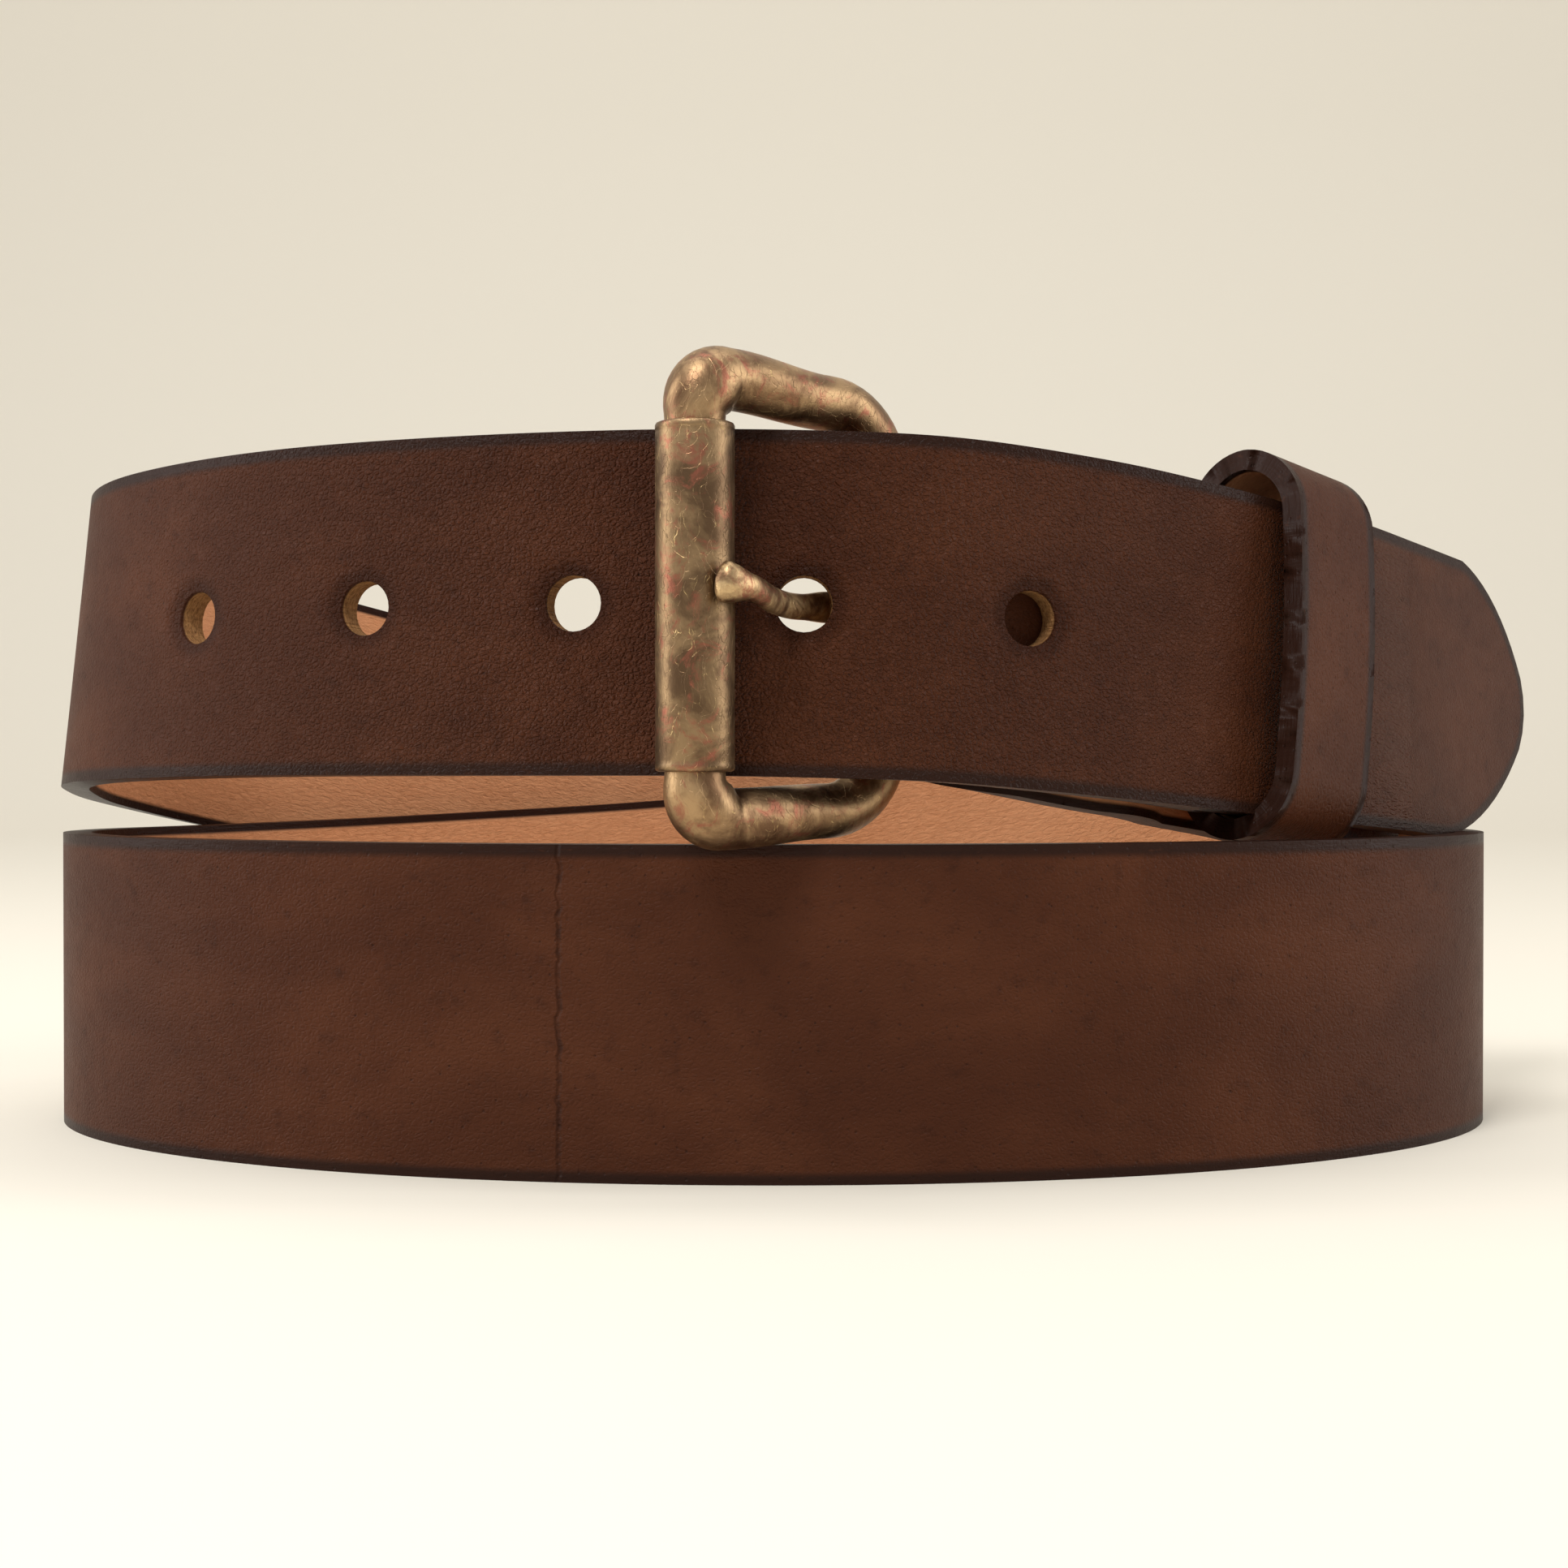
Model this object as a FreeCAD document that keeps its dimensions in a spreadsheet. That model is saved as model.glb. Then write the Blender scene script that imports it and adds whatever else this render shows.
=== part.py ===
import FreeCAD, Part
import math
import os

from FreeCAD import Placement, Rotation, Vector

# A buckled leather belt standing on its edge, coiled into two turns.
# +Z is up, the buckle faces -Y, and the strap's tip points to +X.

DOC = FreeCAD.newDocument("belt")
SHEET = DOC.addObject("Spreadsheet::Sheet", "sizes")

SIZES = [
    ("strapwidth", 38.0, "strap, across its edges"),
    ("strapthick", 3.6, "strap leather"),
    ("edgebevel", 1.1, "bevel along the strap's edges"),
    ("coillength", 186.4, "coil along X, at the middle of the leather"),
    ("coildepth", 116.0, "coil front to back, at the middle of the leather"),
    ("barradius", 3.1, "heel bar of the buckle"),
    ("wirefront", 3.35, "frame section at the roller corners"),
    ("wireheel", 3.1, "frame section where an arm meets the heel corner"),
    ("rollbarradius", 3.2, "frame bar inside the roller"),
    ("barspacing", 26.4, "heel bar to roller bar"),
    ("rollerradius", 4.3, "roller outside"),
    ("rollergap", 0.08, "running gap of roller and prong eye"),
    ("rollerlength", 37.4, "roller"),
    ("windowheight", 39.6, "frame window, arm to arm"),
    ("holeradius", 3.15, "strap holes"),
    ("holepitch", 25.4, "hole spacing"),
    ("tiplength", 109.0, "last hole to the tip"),
    ("pointlength", 25.0, "tapered part of the tip"),
    ("foldlength", 101.0, "fold end to the heel bar"),
    ("frontscrew", 24.0, "heel bar to the front screw"),
    ("keeperplace", 54.0, "heel bar to the keeper's middle"),
    ("rearscrew", 91.0, "heel bar to the rear screw"),
    ("keeperwidth", 16.5, "keeper band"),
    ("keeperthick", 2.5, "keeper leather"),
    ("keeperheight", 42.6, "inside of the keeper, bottom to top"),
    ("keeperround", 6.5, "keeper outside corners"),
    ("postradius", 2.5, "screw post barrel"),
    ("headradius", 4.2, "screw and post heads"),
    ("headthick", 1.0, "screw and post heads"),
    ("recess", 0.5, "head sunk in the leather"),
    ("threadradius", 1.5, "screw shank"),
    ("eyeheight", 6.0, "prong eye along the heel bar"),
    ("eyewall", 1.9, "prong eye wall"),
    ("proudclear", 0.35, "clearance between soft faces"),
]
for row, (alias, value, meaning) in enumerate(SIZES, start=1):
    SHEET.set("A%d" % row, alias)
    SHEET.set("B%d" % row, str(value))
    SHEET.set("C%d" % row, meaning)
    SHEET.setAlias("B%d" % row, alias)
DOC.recompute()


def size(alias):
    return float(SHEET.get(alias))


WIDTH = size("strapwidth")
THICK = size("strapthick")
CLEAR = size("proudclear")

# How the strap lies: the angle is counted clockwise from the front, one turn
# being 360.  Offset is outward in strap thicknesses, rise is the height of the
# lower edge in strap widths, lean tips the top edge inward in degrees.
STATIONS = [
    (8.0, -0.24, 1.203, 1.0),
    (17.0, -0.75, 1.176, 1.5),
    (28.0, -1.75, 1.122, 2.0),
    (38.0, -2.60, 1.076, 2.5),
    (48.0, -3.40, 1.034, 3.0),
    (62.0, -3.75, 0.965, 3.5),
    (90.0, -3.20, 0.815, 4.0),
    (120.0, -2.40, 0.590, 2.0),
    (145.0, -1.90, 0.360, 1.0),
    (176.0, -1.67, 0.140, 0.0),
    (200.0, -1.67, 0.058, 0.0),
    (235.0, -1.45, 0.006, 0.0),
    (255.0, -0.80, -0.003, 0.0),
    (281.0, 0.33, -0.003, 0.0),
    (320.0, 0.17, -0.003, 0.0),
    (360.0, 0.0, -0.003, 0.0),
    (410.0, 0.0, -0.003, 0.0),
    (450.0, 0.0, -0.003, 0.0),
    (480.0, 0.0, 0.022, 0.0),
    (510.0, 0.0, 0.170, 0.0),
    (540.0, 0.0, 0.420, 0.0),
    (570.0, 0.0, 0.735, 1.5),
    (585.0, 0.05, 0.870, 2.8),
    (600.0, 0.15, 0.975, 4.0),
    (620.0, 0.15, 1.085, 5.5),
    (636.0, -0.17, 1.140, 6.0),
    (660.0, -0.17, 1.178, 5.0),
    (690.0, 0.42, 1.198, 3.0),
    (712.0, 0.96, 1.200, 1.5),
    (728.0, 1.03, 1.188, 1.0),
    (742.0, 0.20, 1.140, 1.5),
    (755.0, -1.10, 1.088, 2.0),
    (768.0, -2.10, 1.046, 2.5),
    (782.0, -2.30, 1.016, 3.0),
]
FIRST_ANGLE = STATIONS[0][0]
LAST_ANGLE = STATIONS[-1][0]


def smooth_curve(knots, values):
    """A curve through the values that never overshoots them."""
    steps = [b - a for a, b in zip(knots, knots[1:])]
    slopes = [(b - a) / h for a, b, h in zip(values, values[1:], steps)]
    tangents = [slopes[0]]
    for k in range(1, len(slopes)):
        before, after = slopes[k - 1], slopes[k]
        if before * after <= 0.0:
            tangents.append(0.0)
            continue
        w1 = 2.0 * steps[k] + steps[k - 1]
        w2 = steps[k] + 2.0 * steps[k - 1]
        tangents.append((w1 + w2) / (w1 / before + w2 / after))
    tangents.append(slopes[-1])

    def value_at(x):
        k = 0
        while k < len(steps) - 1 and x > knots[k + 1]:
            k += 1
        t = (x - knots[k]) / steps[k]
        return (
            (2 * t**3 - 3 * t**2 + 1) * values[k]
            + (t**3 - 2 * t**2 + t) * steps[k] * tangents[k]
            + (3 * t**2 - 2 * t**3) * values[k + 1]
            + (t**3 - t**2) * steps[k] * tangents[k + 1]
        )

    return value_at


ANGLES = [station[0] for station in STATIONS]
offset_at = smooth_curve(ANGLES, [station[1] * THICK for station in STATIONS])
rise_at = smooth_curve(ANGLES, [station[2] * WIDTH for station in STATIONS])
lean_at = smooth_curve(ANGLES, [station[3] for station in STATIONS])

HALF_LENGTH = size("coillength") / 2.0
HALF_DEPTH = size("coildepth") / 2.0


def middle_at(angle):
    """Middle of the leather, on the strap's lower edge."""
    turn = math.radians(angle)
    along = Vector(HALF_LENGTH * math.cos(turn), HALF_DEPTH * math.sin(turn), 0.0)
    along.normalize()
    outward = Vector(along.y, -along.x, 0.0)
    place = Vector(HALF_LENGTH * math.sin(turn), -HALF_DEPTH * math.cos(turn), rise_at(angle))
    return place + outward * offset_at(angle)


class Station:
    """One cross-section of the strap: its middle and three directions."""

    def __init__(self, foot, along, lean):
        level = Vector(along.x, along.y, 0.0)
        level.normalize()
        side = Vector(level.y, -level.x, 0.0)
        rise = side.cross(along)
        if rise.z < 0.0:
            rise = rise * -1.0
        tip = math.radians(lean)
        self.along = along
        self.up = rise * math.cos(tip) - side * math.sin(tip)
        self.out = side * math.cos(tip) + rise * math.sin(tip)
        self.middle = foot + Vector(0.0, 0.0, WIDTH / 2.0)

    def point(self, outward, upward, forward=0.0):
        return self.middle + self.out * outward + self.up * upward + self.along * forward

    def placement(self, outward=0.0, upward=0.0, forward=0.0):
        """Local X runs along the strap, local Y inward, local Z up its width."""
        inward = self.out * -1.0
        turn = Rotation(self.along, inward, self.up, "XYZ")
        return Placement(self.point(outward, upward, forward), turn)


def station_at(angle):
    low = max(angle - 0.2, FIRST_ANGLE)
    high = min(angle + 0.2, LAST_ANGLE)
    along = middle_at(high) - middle_at(low)
    along.normalize()
    return Station(middle_at(angle), along, lean_at(angle))


# Distance travelled along the strap from the heel bar, by angle.
TRAVEL = [(FIRST_ANGLE, 0.0)]
while TRAVEL[-1][0] < LAST_ANGLE:
    here = TRAVEL[-1][0]
    there = min(here + 1.0, LAST_ANGLE)
    TRAVEL.append((there, TRAVEL[-1][1] + (middle_at(there) - middle_at(here)).Length))


def angle_after(distance):
    for (a0, s0), (a1, s1) in zip(TRAVEL, TRAVEL[1:]):
        if s1 >= distance:
            return a0 + (a1 - a0) * (distance - s0) / (s1 - s0)
    return LAST_ANGLE


def travel_at(angle):
    for (a0, s0), (a1, s1) in zip(TRAVEL, TRAVEL[1:]):
        if a1 >= angle:
            return s0 + (s1 - s0) * (angle - a0) / (a1 - a0)
    return TRAVEL[-1][1]


# The heel bar stands inside the strap's first bend.
START = station_at(FIRST_ANGLE)
START_LEVEL = Vector(START.along.x, START.along.y, 0.0)
START_LEVEL.normalize()
START_SIDE = Vector(START_LEVEL.y, -START_LEVEL.x, 0.0)
WRAP_RADIUS = size("barradius") + 0.1 + THICK / 2.0
HEEL = START.middle - START_SIDE * WRAP_RADIUS
START_FOOT = middle_at(FIRST_ANGLE)

# The fold lies behind the strap: how far its middle is from the strap's middle.
KEEPER_BACK = THICK / 2.0 + 3.5 * CLEAR + size("keeperthick")
NEAR_GAP = THICK + CLEAR
KEEPER_GAP = KEEPER_BACK + THICK / 2.0 + 1.2
KEEPER_AT = size("keeperplace")
HALF_KEEPER = size("keeperwidth") / 2.0
fold_gap_at = smooth_curve(
    [0.0, 9.0, 19.0, 30.0, KEEPER_AT - HALF_KEEPER - 2.0, KEEPER_AT + HALF_KEEPER + 1.0,
     size("rearscrew") - 5.0, size("foldlength")],
    [2.0 * WRAP_RADIUS, 1.55 * WRAP_RADIUS, NEAR_GAP, NEAR_GAP, KEEPER_GAP, KEEPER_GAP,
     NEAR_GAP, NEAR_GAP],
)
FOLD_DROP = 0.045 * WIDTH


def fold_foot(distance):
    """Lower edge of the folded end, that far from the heel bar."""
    angle = angle_after(distance)
    level = station_at(angle).along
    side = Vector(level.y, -level.x, 0.0)
    side.normalize()
    drop = FOLD_DROP * min(distance / 25.0, 1.0)
    return middle_at(angle) - side * fold_gap_at(distance) - Vector(0.0, 0.0, drop)


def fold_station(distance):
    low = max(distance - 0.3, 0.0)
    along = fold_foot(distance + 0.3) - fold_foot(low)
    along.normalize()
    lean = lean_at(angle_after(distance)) * min(distance / 15.0, 1.0)
    station = Station(fold_foot(distance), along, lean)
    station.along = along * -1.0
    station.out = station.out * -1.0
    return station


def strap_stations():
    """Every cross-section from the end of the fold to the tip."""
    stations = []
    fold_steps = 16
    for k in range(fold_steps):
        distance = size("foldlength") * (1.0 - k / fold_steps)
        stations.append(fold_station(distance))
    wrap_steps = 8
    for k in range(wrap_steps):
        turn = math.pi * (1.0 - k / wrap_steps)
        side = START_SIDE * math.cos(turn) - START_LEVEL * math.sin(turn)
        foot = START_FOOT + START_SIDE * -WRAP_RADIUS + side * WRAP_RADIUS
        along = START_LEVEL * math.cos(turn) + START_SIDE * math.sin(turn)
        station = Station(foot, along, 0.0)
        station.out = side
        station.up = Vector(0.0, 0.0, 1.0)
        stations.append(station)
    turn_steps = 96
    for k in range(turn_steps + 1):
        angle = FIRST_ANGLE + (LAST_ANGLE - FIRST_ANGLE) * k / turn_steps
        lean_in = min(k / 3.0, 1.0)
        along = station_at(angle).along
        stations.append(Station(middle_at(angle), along, lean_at(angle) * lean_in))
    end = stations[-1]
    straight = TIP_END - TIP_BLOCK - TRAVEL[-1][1]
    for part in (0.5, 1.0):
        station = Station(middle_at(LAST_ANGLE), end.along, lean_at(LAST_ANGLE))
        station.middle = end.middle + end.along * (straight * part)
        stations.append(station)
    return stations


def rail_strip(stations, profile):
    """A solid whose long edges run through the same corner of every section."""
    knots = [0.0]
    for a, b in zip(stations, stations[1:]):
        knots.append(knots[-1] + (b.middle - a.middle).Length)
    breaks = list(range(0, len(stations) - 5, 9)) + [len(stations) - 1]
    rails = []
    for outward, upward in profile:
        curve = Part.BSplineCurve()
        curve.interpolate([s.point(outward, upward) for s in stations], Parameters=knots)
        rails.append([curve.toShape(knots[a], knots[b]) for a, b in zip(breaks, breaks[1:])])
    faces = []
    for rail, next_rail in zip(rails, rails[1:] + rails[:1]):
        for a, b in zip(rail, next_rail):
            faces.append(Part.makeRuledSurface(a, b))
    for station in (stations[0], stations[-1]):
        corners = [station.point(outward, upward) for outward, upward in profile]
        faces.append(Part.Face(Part.makePolygon(corners + corners[:1])))
    shell = Part.makeShell(faces)
    shell.sewShape()
    solid = Part.makeSolid(shell)
    if solid.Volume < 0.0:
        solid.reverse()
    return solid


def strap_profile():
    half_thick = THICK / 2.0
    half_width = WIDTH / 2.0
    bevel = size("edgebevel")
    return [
        (half_thick, -half_width + bevel),
        (half_thick, half_width - bevel),
        (half_thick - bevel, half_width),
        (-half_thick + bevel, half_width),
        (-half_thick, half_width - bevel),
        (-half_thick, -half_width + bevel),
        (-half_thick + bevel, -half_width),
        (half_thick - bevel, -half_width),
    ]


# The prong's hole is set where the strap passes just left of the heel bar.
PRONG_HOLE_ANGLE = 720.0
while middle_at(PRONG_HOLE_ANGLE).x < HEEL.x - 8.9:
    PRONG_HOLE_ANGLE += 0.05
PRONG_HOLE = station_at(PRONG_HOLE_ANGLE)
PRONG_TRAVEL = travel_at(PRONG_HOLE_ANGLE)
TIP_END = PRONG_TRAVEL + size("holepitch") + size("tiplength")
TIP_BLOCK = size("pointlength") + 1.0

# The roller stands against the outside of the strap, one bar spacing away.
ROLLER_STAND = THICK / 2.0 + size("rollerradius") + CLEAR + 0.012 * WIDTH


def strap_distance(place):
    nearest = min(
        (middle_at(660.0 + step) - Vector(place.x, place.y, middle_at(660.0 + step).z)).Length
        for step in range(0, 80)
    )
    return nearest


ROLLER_TURN = 20.0
while ROLLER_TURN < 80.0:
    swing = math.radians(ROLLER_TURN)
    reach = Vector(-math.cos(swing), -math.sin(swing), 0.0) * size("barspacing")
    in_front = (HEEL + reach).y < middle_at(PRONG_HOLE_ANGLE).y
    if in_front and strap_distance(HEEL + reach) >= ROLLER_STAND:
        break
    ROLLER_TURN += 0.25
HALF_BUCKLE = size("windowheight") / 2.0 + 2.0 * size("wirefront")
BUCKLE_MIDDLE = Vector(HEEL.x, HEEL.y, max(PRONG_HOLE.middle.z, WIDTH + 0.25 + HALF_BUCKLE))
ROLLER = BUCKLE_MIDDLE + reach
BUCKLE = Placement(BUCKLE_MIDDLE, Rotation(Vector(0, 0, 1), 180.0 + ROLLER_TURN))


def add_shape(label, shape):
    feature = DOC.addObject("Part::Feature", label)
    feature.Label = label
    feature.Shape = shape
    return feature


def add_primitive(kind, label, placement, **sizes):
    """A Part primitive whose sizes are expressions on the sheet."""
    item = DOC.addObject("Part::" + kind, label)
    item.Label = label
    for name, rule in sizes.items():
        item.setExpression(name, rule)
    item.Placement = placement
    return item


def fused(label, items):
    item = DOC.addObject("Part::MultiFuse", label)
    item.Label = label
    item.Shapes = items
    return item


def cut(label, base, tool):
    item = DOC.addObject("Part::Cut", label)
    item.Label = label
    item.Base = base
    item.Tool = tool
    return item


def bore_along_normal(station, radius, depth, start):
    """A cylinder through the strap, from start outward of its middle, going inward."""
    direction = station.out * -1.0
    return Part.makeCylinder(radius, depth, station.point(start, 0.0), direction)


# ---------------------------------------------------------------- strap
FRONT_SCREW = station_at(angle_after(size("frontscrew")))
REAR_SCREW = station_at(angle_after(size("rearscrew")))
FOLD_STACK = THICK + fold_gap_at(size("frontscrew"))
HEAD_ROOM = size("headradius") + 0.3
SEAT_SLACK = 0.65
TIP_FRAME = Station(middle_at(LAST_ANGLE), station_at(LAST_ANGLE).along, lean_at(LAST_ANGLE))
TIP_FRAME.middle = TIP_FRAME.middle + TIP_FRAME.along * (TIP_END - TRAVEL[-1][1])


def tip_block():
    """The rounded point, bevelled like the rest of the strap."""
    half = WIDTH / 2.0
    half_thick = THICK / 2.0
    point = size("pointlength")
    shoulder = Vector(-point, half, -half_thick)
    belly = Vector(-0.37 * point, 0.716 * half, -half_thick)
    nose_side = Vector(-0.055 * point, 0.26 * half, -half_thick)
    nose = Vector(0.0, 0.0, -half_thick)
    root = Vector(-TIP_BLOCK, half, -half_thick)

    def mirrored(p):
        return Vector(p.x, -p.y, p.z)

    outline = [
        Part.makeLine(mirrored(root), mirrored(shoulder)),
        Part.Arc(mirrored(shoulder), mirrored(belly), mirrored(nose_side)).toShape(),
        Part.Arc(mirrored(nose_side), nose, nose_side).toShape(),
        Part.Arc(nose_side, belly, shoulder).toShape(),
        Part.makeLine(shoulder, root),
        Part.makeLine(root, mirrored(root)),
    ]
    block = Part.Face(Part.Wire(outline)).extrude(Vector(0.0, 0.0, THICK))
    rims = []
    for edge in block.Edges:
        low, high = edge.BoundBox.ZMin, edge.BoundBox.ZMax
        at_root = edge.BoundBox.XMax < -TIP_BLOCK + 0.01
        if high - low < 0.01 and not at_root:
            rims.append(edge)
    block = block.makeChamfer(size("edgebevel"), rims)
    turn = Rotation(TIP_FRAME.along, TIP_FRAME.up, TIP_FRAME.along.cross(TIP_FRAME.up), "XYZ")
    block.Placement = Placement(TIP_FRAME.middle, turn)
    return block


def prong_slot():
    """The oblong slot in the fold where the prong's eye swings."""
    height = size("eyeheight") + 1.6
    ahead = WRAP_RADIUS + THICK / 2.0 + 1.0
    depth = 2.0 * WRAP_RADIUS + THICK + 0.5
    reach = THICK / 2.0 + 0.75 * CLEAR
    lower = size("eyeheight") / 2.0 + 0.8
    near = [START.middle + START_SIDE * reach - START_LEVEL * ahead]
    for travel in (0.0, 3.0, 6.0, 9.8):
        station = station_at(angle_after(travel))
        near.append(station.middle + station.out * reach)
    far = [near[-1] - START_SIDE * depth, near[0] - START_SIDE * depth]
    outline = [Vector(p.x, p.y, BUCKLE_MIDDLE.z - lower) for p in near + far]
    return Part.Face(Part.makePolygon(outline + outline[:1])).extrude(Vector(0.0, 0.0, height))


def strap_shape():
    solid = rail_strip(strap_stations(), strap_profile()).fuse(tip_block())
    tools = [prong_slot()]
    for k in (-3, -2, -1, 0, 1):
        travel = PRONG_TRAVEL + k * size("holepitch")
        station = station_at(angle_after(travel))
        tools.append(bore_along_normal(station, size("holeradius"), THICK + 0.6, THICK / 2 + 0.3))
    for station in (FRONT_SCREW, REAR_SCREW):
        barrel = size("postradius") + 0.15
        front_face = THICK / 2.0
        back_face = FOLD_STACK - THICK / 2.0
        tools.append(bore_along_normal(station, barrel, FOLD_STACK + 0.6, front_face + 0.3))
        seat = size("recess") + SEAT_SLACK
        tools.append(bore_along_normal(station, HEAD_ROOM, seat + 0.3, front_face + 0.3))
        tools.append(bore_along_normal(station, HEAD_ROOM, seat + 1.2, seat - back_face))
    ground = Part.makeBox(600.0, 600.0, 10.0, Vector(-300.0, -300.0, -10.0))
    tools.append(ground)
    for tool in tools:
        solid = solid.cut(tool)
    return solid


strap = add_shape("strap", strap_shape())

# ---------------------------------------------------------------- buckle frame
# In the buckle's own frame the heel bar is the Z axis and the roller bar is at +X.
corner_radius = size("wirefront") + 0.9
heel_corner_radius = size("wireheel") + 0.8
arm_middle = size("windowheight") / 2.0 + size("wirefront")
spacing = size("barspacing")


def frame_piece(kind, label, place, **sizes):
    return add_primitive(kind, label, BUCKLE.multiply(place), **sizes)


frame_items = [
    frame_piece(
        "Cylinder", "roller_bar",
        Placement(Vector(spacing, 0, corner_radius - arm_middle), Rotation()),
        Radius="sizes.rollbarradius",
        Height="2 * (sizes.windowheight / 2 + sizes.wirefront - (sizes.wirefront + 0.9))",
    ),
    frame_piece(
        "Cylinder", "heel_bar",
        Placement(Vector(0, 0, heel_corner_radius - arm_middle), Rotation()),
        Radius="sizes.barradius",
        Height="2 * (sizes.windowheight / 2 + sizes.wirefront - (sizes.wireheel + 0.8))",
    ),
]
for side_name, sign in (("upper", 1.0), ("lower", -1.0)):
    height = sign * arm_middle
    arm_start = Vector(heel_corner_radius, 0, height)
    frame_items.append(
        frame_piece(
            "Cone", side_name + "_arm",
            Placement(arm_start, Rotation(Vector(0, 0, 1), Vector(1, 0, 0))),
            Radius1="sizes.wireheel",
            Radius2="sizes.wirefront",
            Height="sizes.barspacing - (sizes.wirefront + 0.9) - (sizes.wireheel + 0.8)",
        )
    )
    front_centre = Vector(spacing - corner_radius, 0, height - sign * corner_radius)
    heel_centre = Vector(heel_corner_radius, 0, height - sign * heel_corner_radius)
    lie_flat = Rotation(Vector(1, 0, 0), 90.0)
    front_turn = 0.0 if sign > 0 else -90.0
    heel_turn = 90.0 if sign > 0 else 180.0
    spin_front = Rotation(Vector(0, 1, 0), -front_turn).multiply(lie_flat)
    spin_heel = Rotation(Vector(0, 1, 0), -heel_turn).multiply(lie_flat)
    frame_items.append(
        frame_piece(
            "Torus", side_name + "_front_corner", Placement(front_centre, spin_front),
            Radius1="sizes.wirefront + 0.9", Radius2="sizes.wirefront", Angle3="90",
        )
    )
    frame_items.append(
        frame_piece(
            "Torus", side_name + "_heel_corner", Placement(heel_centre, spin_heel),
            Radius1="sizes.wireheel + 0.8", Radius2="sizes.wireheel", Angle3="90",
        )
    )
buckle_frame = fused("buckle_frame", frame_items)

# ---------------------------------------------------------------- roller
roller_foot = Vector(spacing, 0, -size("rollerlength") / 2.0)
roller_place = BUCKLE.multiply(Placement(roller_foot, Rotation()))
roller_outside = add_primitive(
    "Cylinder", "roller_outside", roller_place,
    Radius="sizes.rollerradius", Height="sizes.rollerlength",
)
roller_bore = add_primitive(
    "Cylinder", "roller_bore", roller_place,
    Radius="sizes.rollbarradius + sizes.rollergap", Height="sizes.rollerlength",
)
roller = cut("roller", roller_outside, roller_bore)

# ---------------------------------------------------------------- prong
PRONG_STAND = size("rollerradius") + 1.75


def prong_route():
    """Middle line of the prong seen from above, with its half sizes."""
    hole = PRONG_HOLE.middle
    eye_edge = size("barradius") + 0.5 * size("eyewall")
    leave = math.radians(232.0)
    root = HEEL + Vector(math.cos(leave), math.sin(leave), 0.0) * eye_edge
    into_hole = hole - Vector(0.3, 0.0, 0.0)
    over = ROLLER + Vector(0.90, -0.44, 0.0) * (PRONG_STAND * 1.12)
    crown = ROLLER + Vector(0.68, -0.735, 0.0) * (PRONG_STAND * 1.01)
    tip = ROLLER + Vector(0.50, -0.866, 0.0) * PRONG_STAND
    end = ROLLER + Vector(0.39, -0.921, 0.0) * (PRONG_STAND + 0.05)
    half_way = root + (into_hole - root) * 0.55 - Vector(0.3, 0.0, 0.0)
    return [
        (root, 1.3, 1.9),
        (half_way, 1.05, 1.8),
        (into_hole, 0.95, 1.75),
        (over, 1.2, 1.7),
        (crown, 1.40, 2.1),
        (tip, 1.30, 1.9),
        (end, 0.55, 0.8),
    ]


def prong_shape():
    height = BUCKLE_MIDDLE.z
    route = prong_route()
    line = Part.BSplineCurve()
    line.interpolate([Vector(p.x, p.y, height) for p, _, _ in route])
    rings = []
    for place, half_across, half_tall in route:
        spot = Vector(place.x, place.y, height)
        tangent = line.tangent(line.parameter(spot))[0]
        ring = Part.Ellipse(Vector(0, 0, 0), half_tall, half_across).toShape()
        across = Vector(0, 0, 1).cross(tangent)
        turn = Rotation(Vector(0, 0, 1), across, Vector(0, 0, 1).cross(across), "XYZ")
        ring.Placement = Placement(spot, turn)
        rings.append(Part.Wire(ring))
    stem = Part.makeLoft(rings, True, False)
    inner = size("barradius") + size("rollergap")
    outer = inner + size("eyewall")
    tall = size("eyeheight")
    foot = Vector(HEEL.x, HEEL.y, height - tall / 2.0)
    eye = Part.makeCylinder(outer, tall, foot)
    whole = eye.fuse(stem)
    return whole.cut(Part.makeCylinder(inner, tall + 4.0, foot - Vector(0, 0, 2.0)))


prong = add_shape("prong", prong_shape())

# ---------------------------------------------------------------- keeper
KEEPER_ANGLE = angle_after(KEEPER_AT)
KEEPER = station_at(KEEPER_ANGLE)
OVER = station_at(min(KEEPER_ANGLE + 720.0, LAST_ANGLE))
BOTH_GAP = (OVER.middle - KEEPER.middle).dot(KEEPER.out)
CAVITY_FRONT = BOTH_GAP + THICK / 2.0 + 3.5 * CLEAR
CAVITY_BACK = THICK / 2.0 + 3.5 * CLEAR
KEEPER_LIFT = 1.4
SEAM = 0.4
keeper_level = Station(KEEPER.middle - Vector(0, 0, WIDTH / 2.0), KEEPER.along, 3.0)


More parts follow.
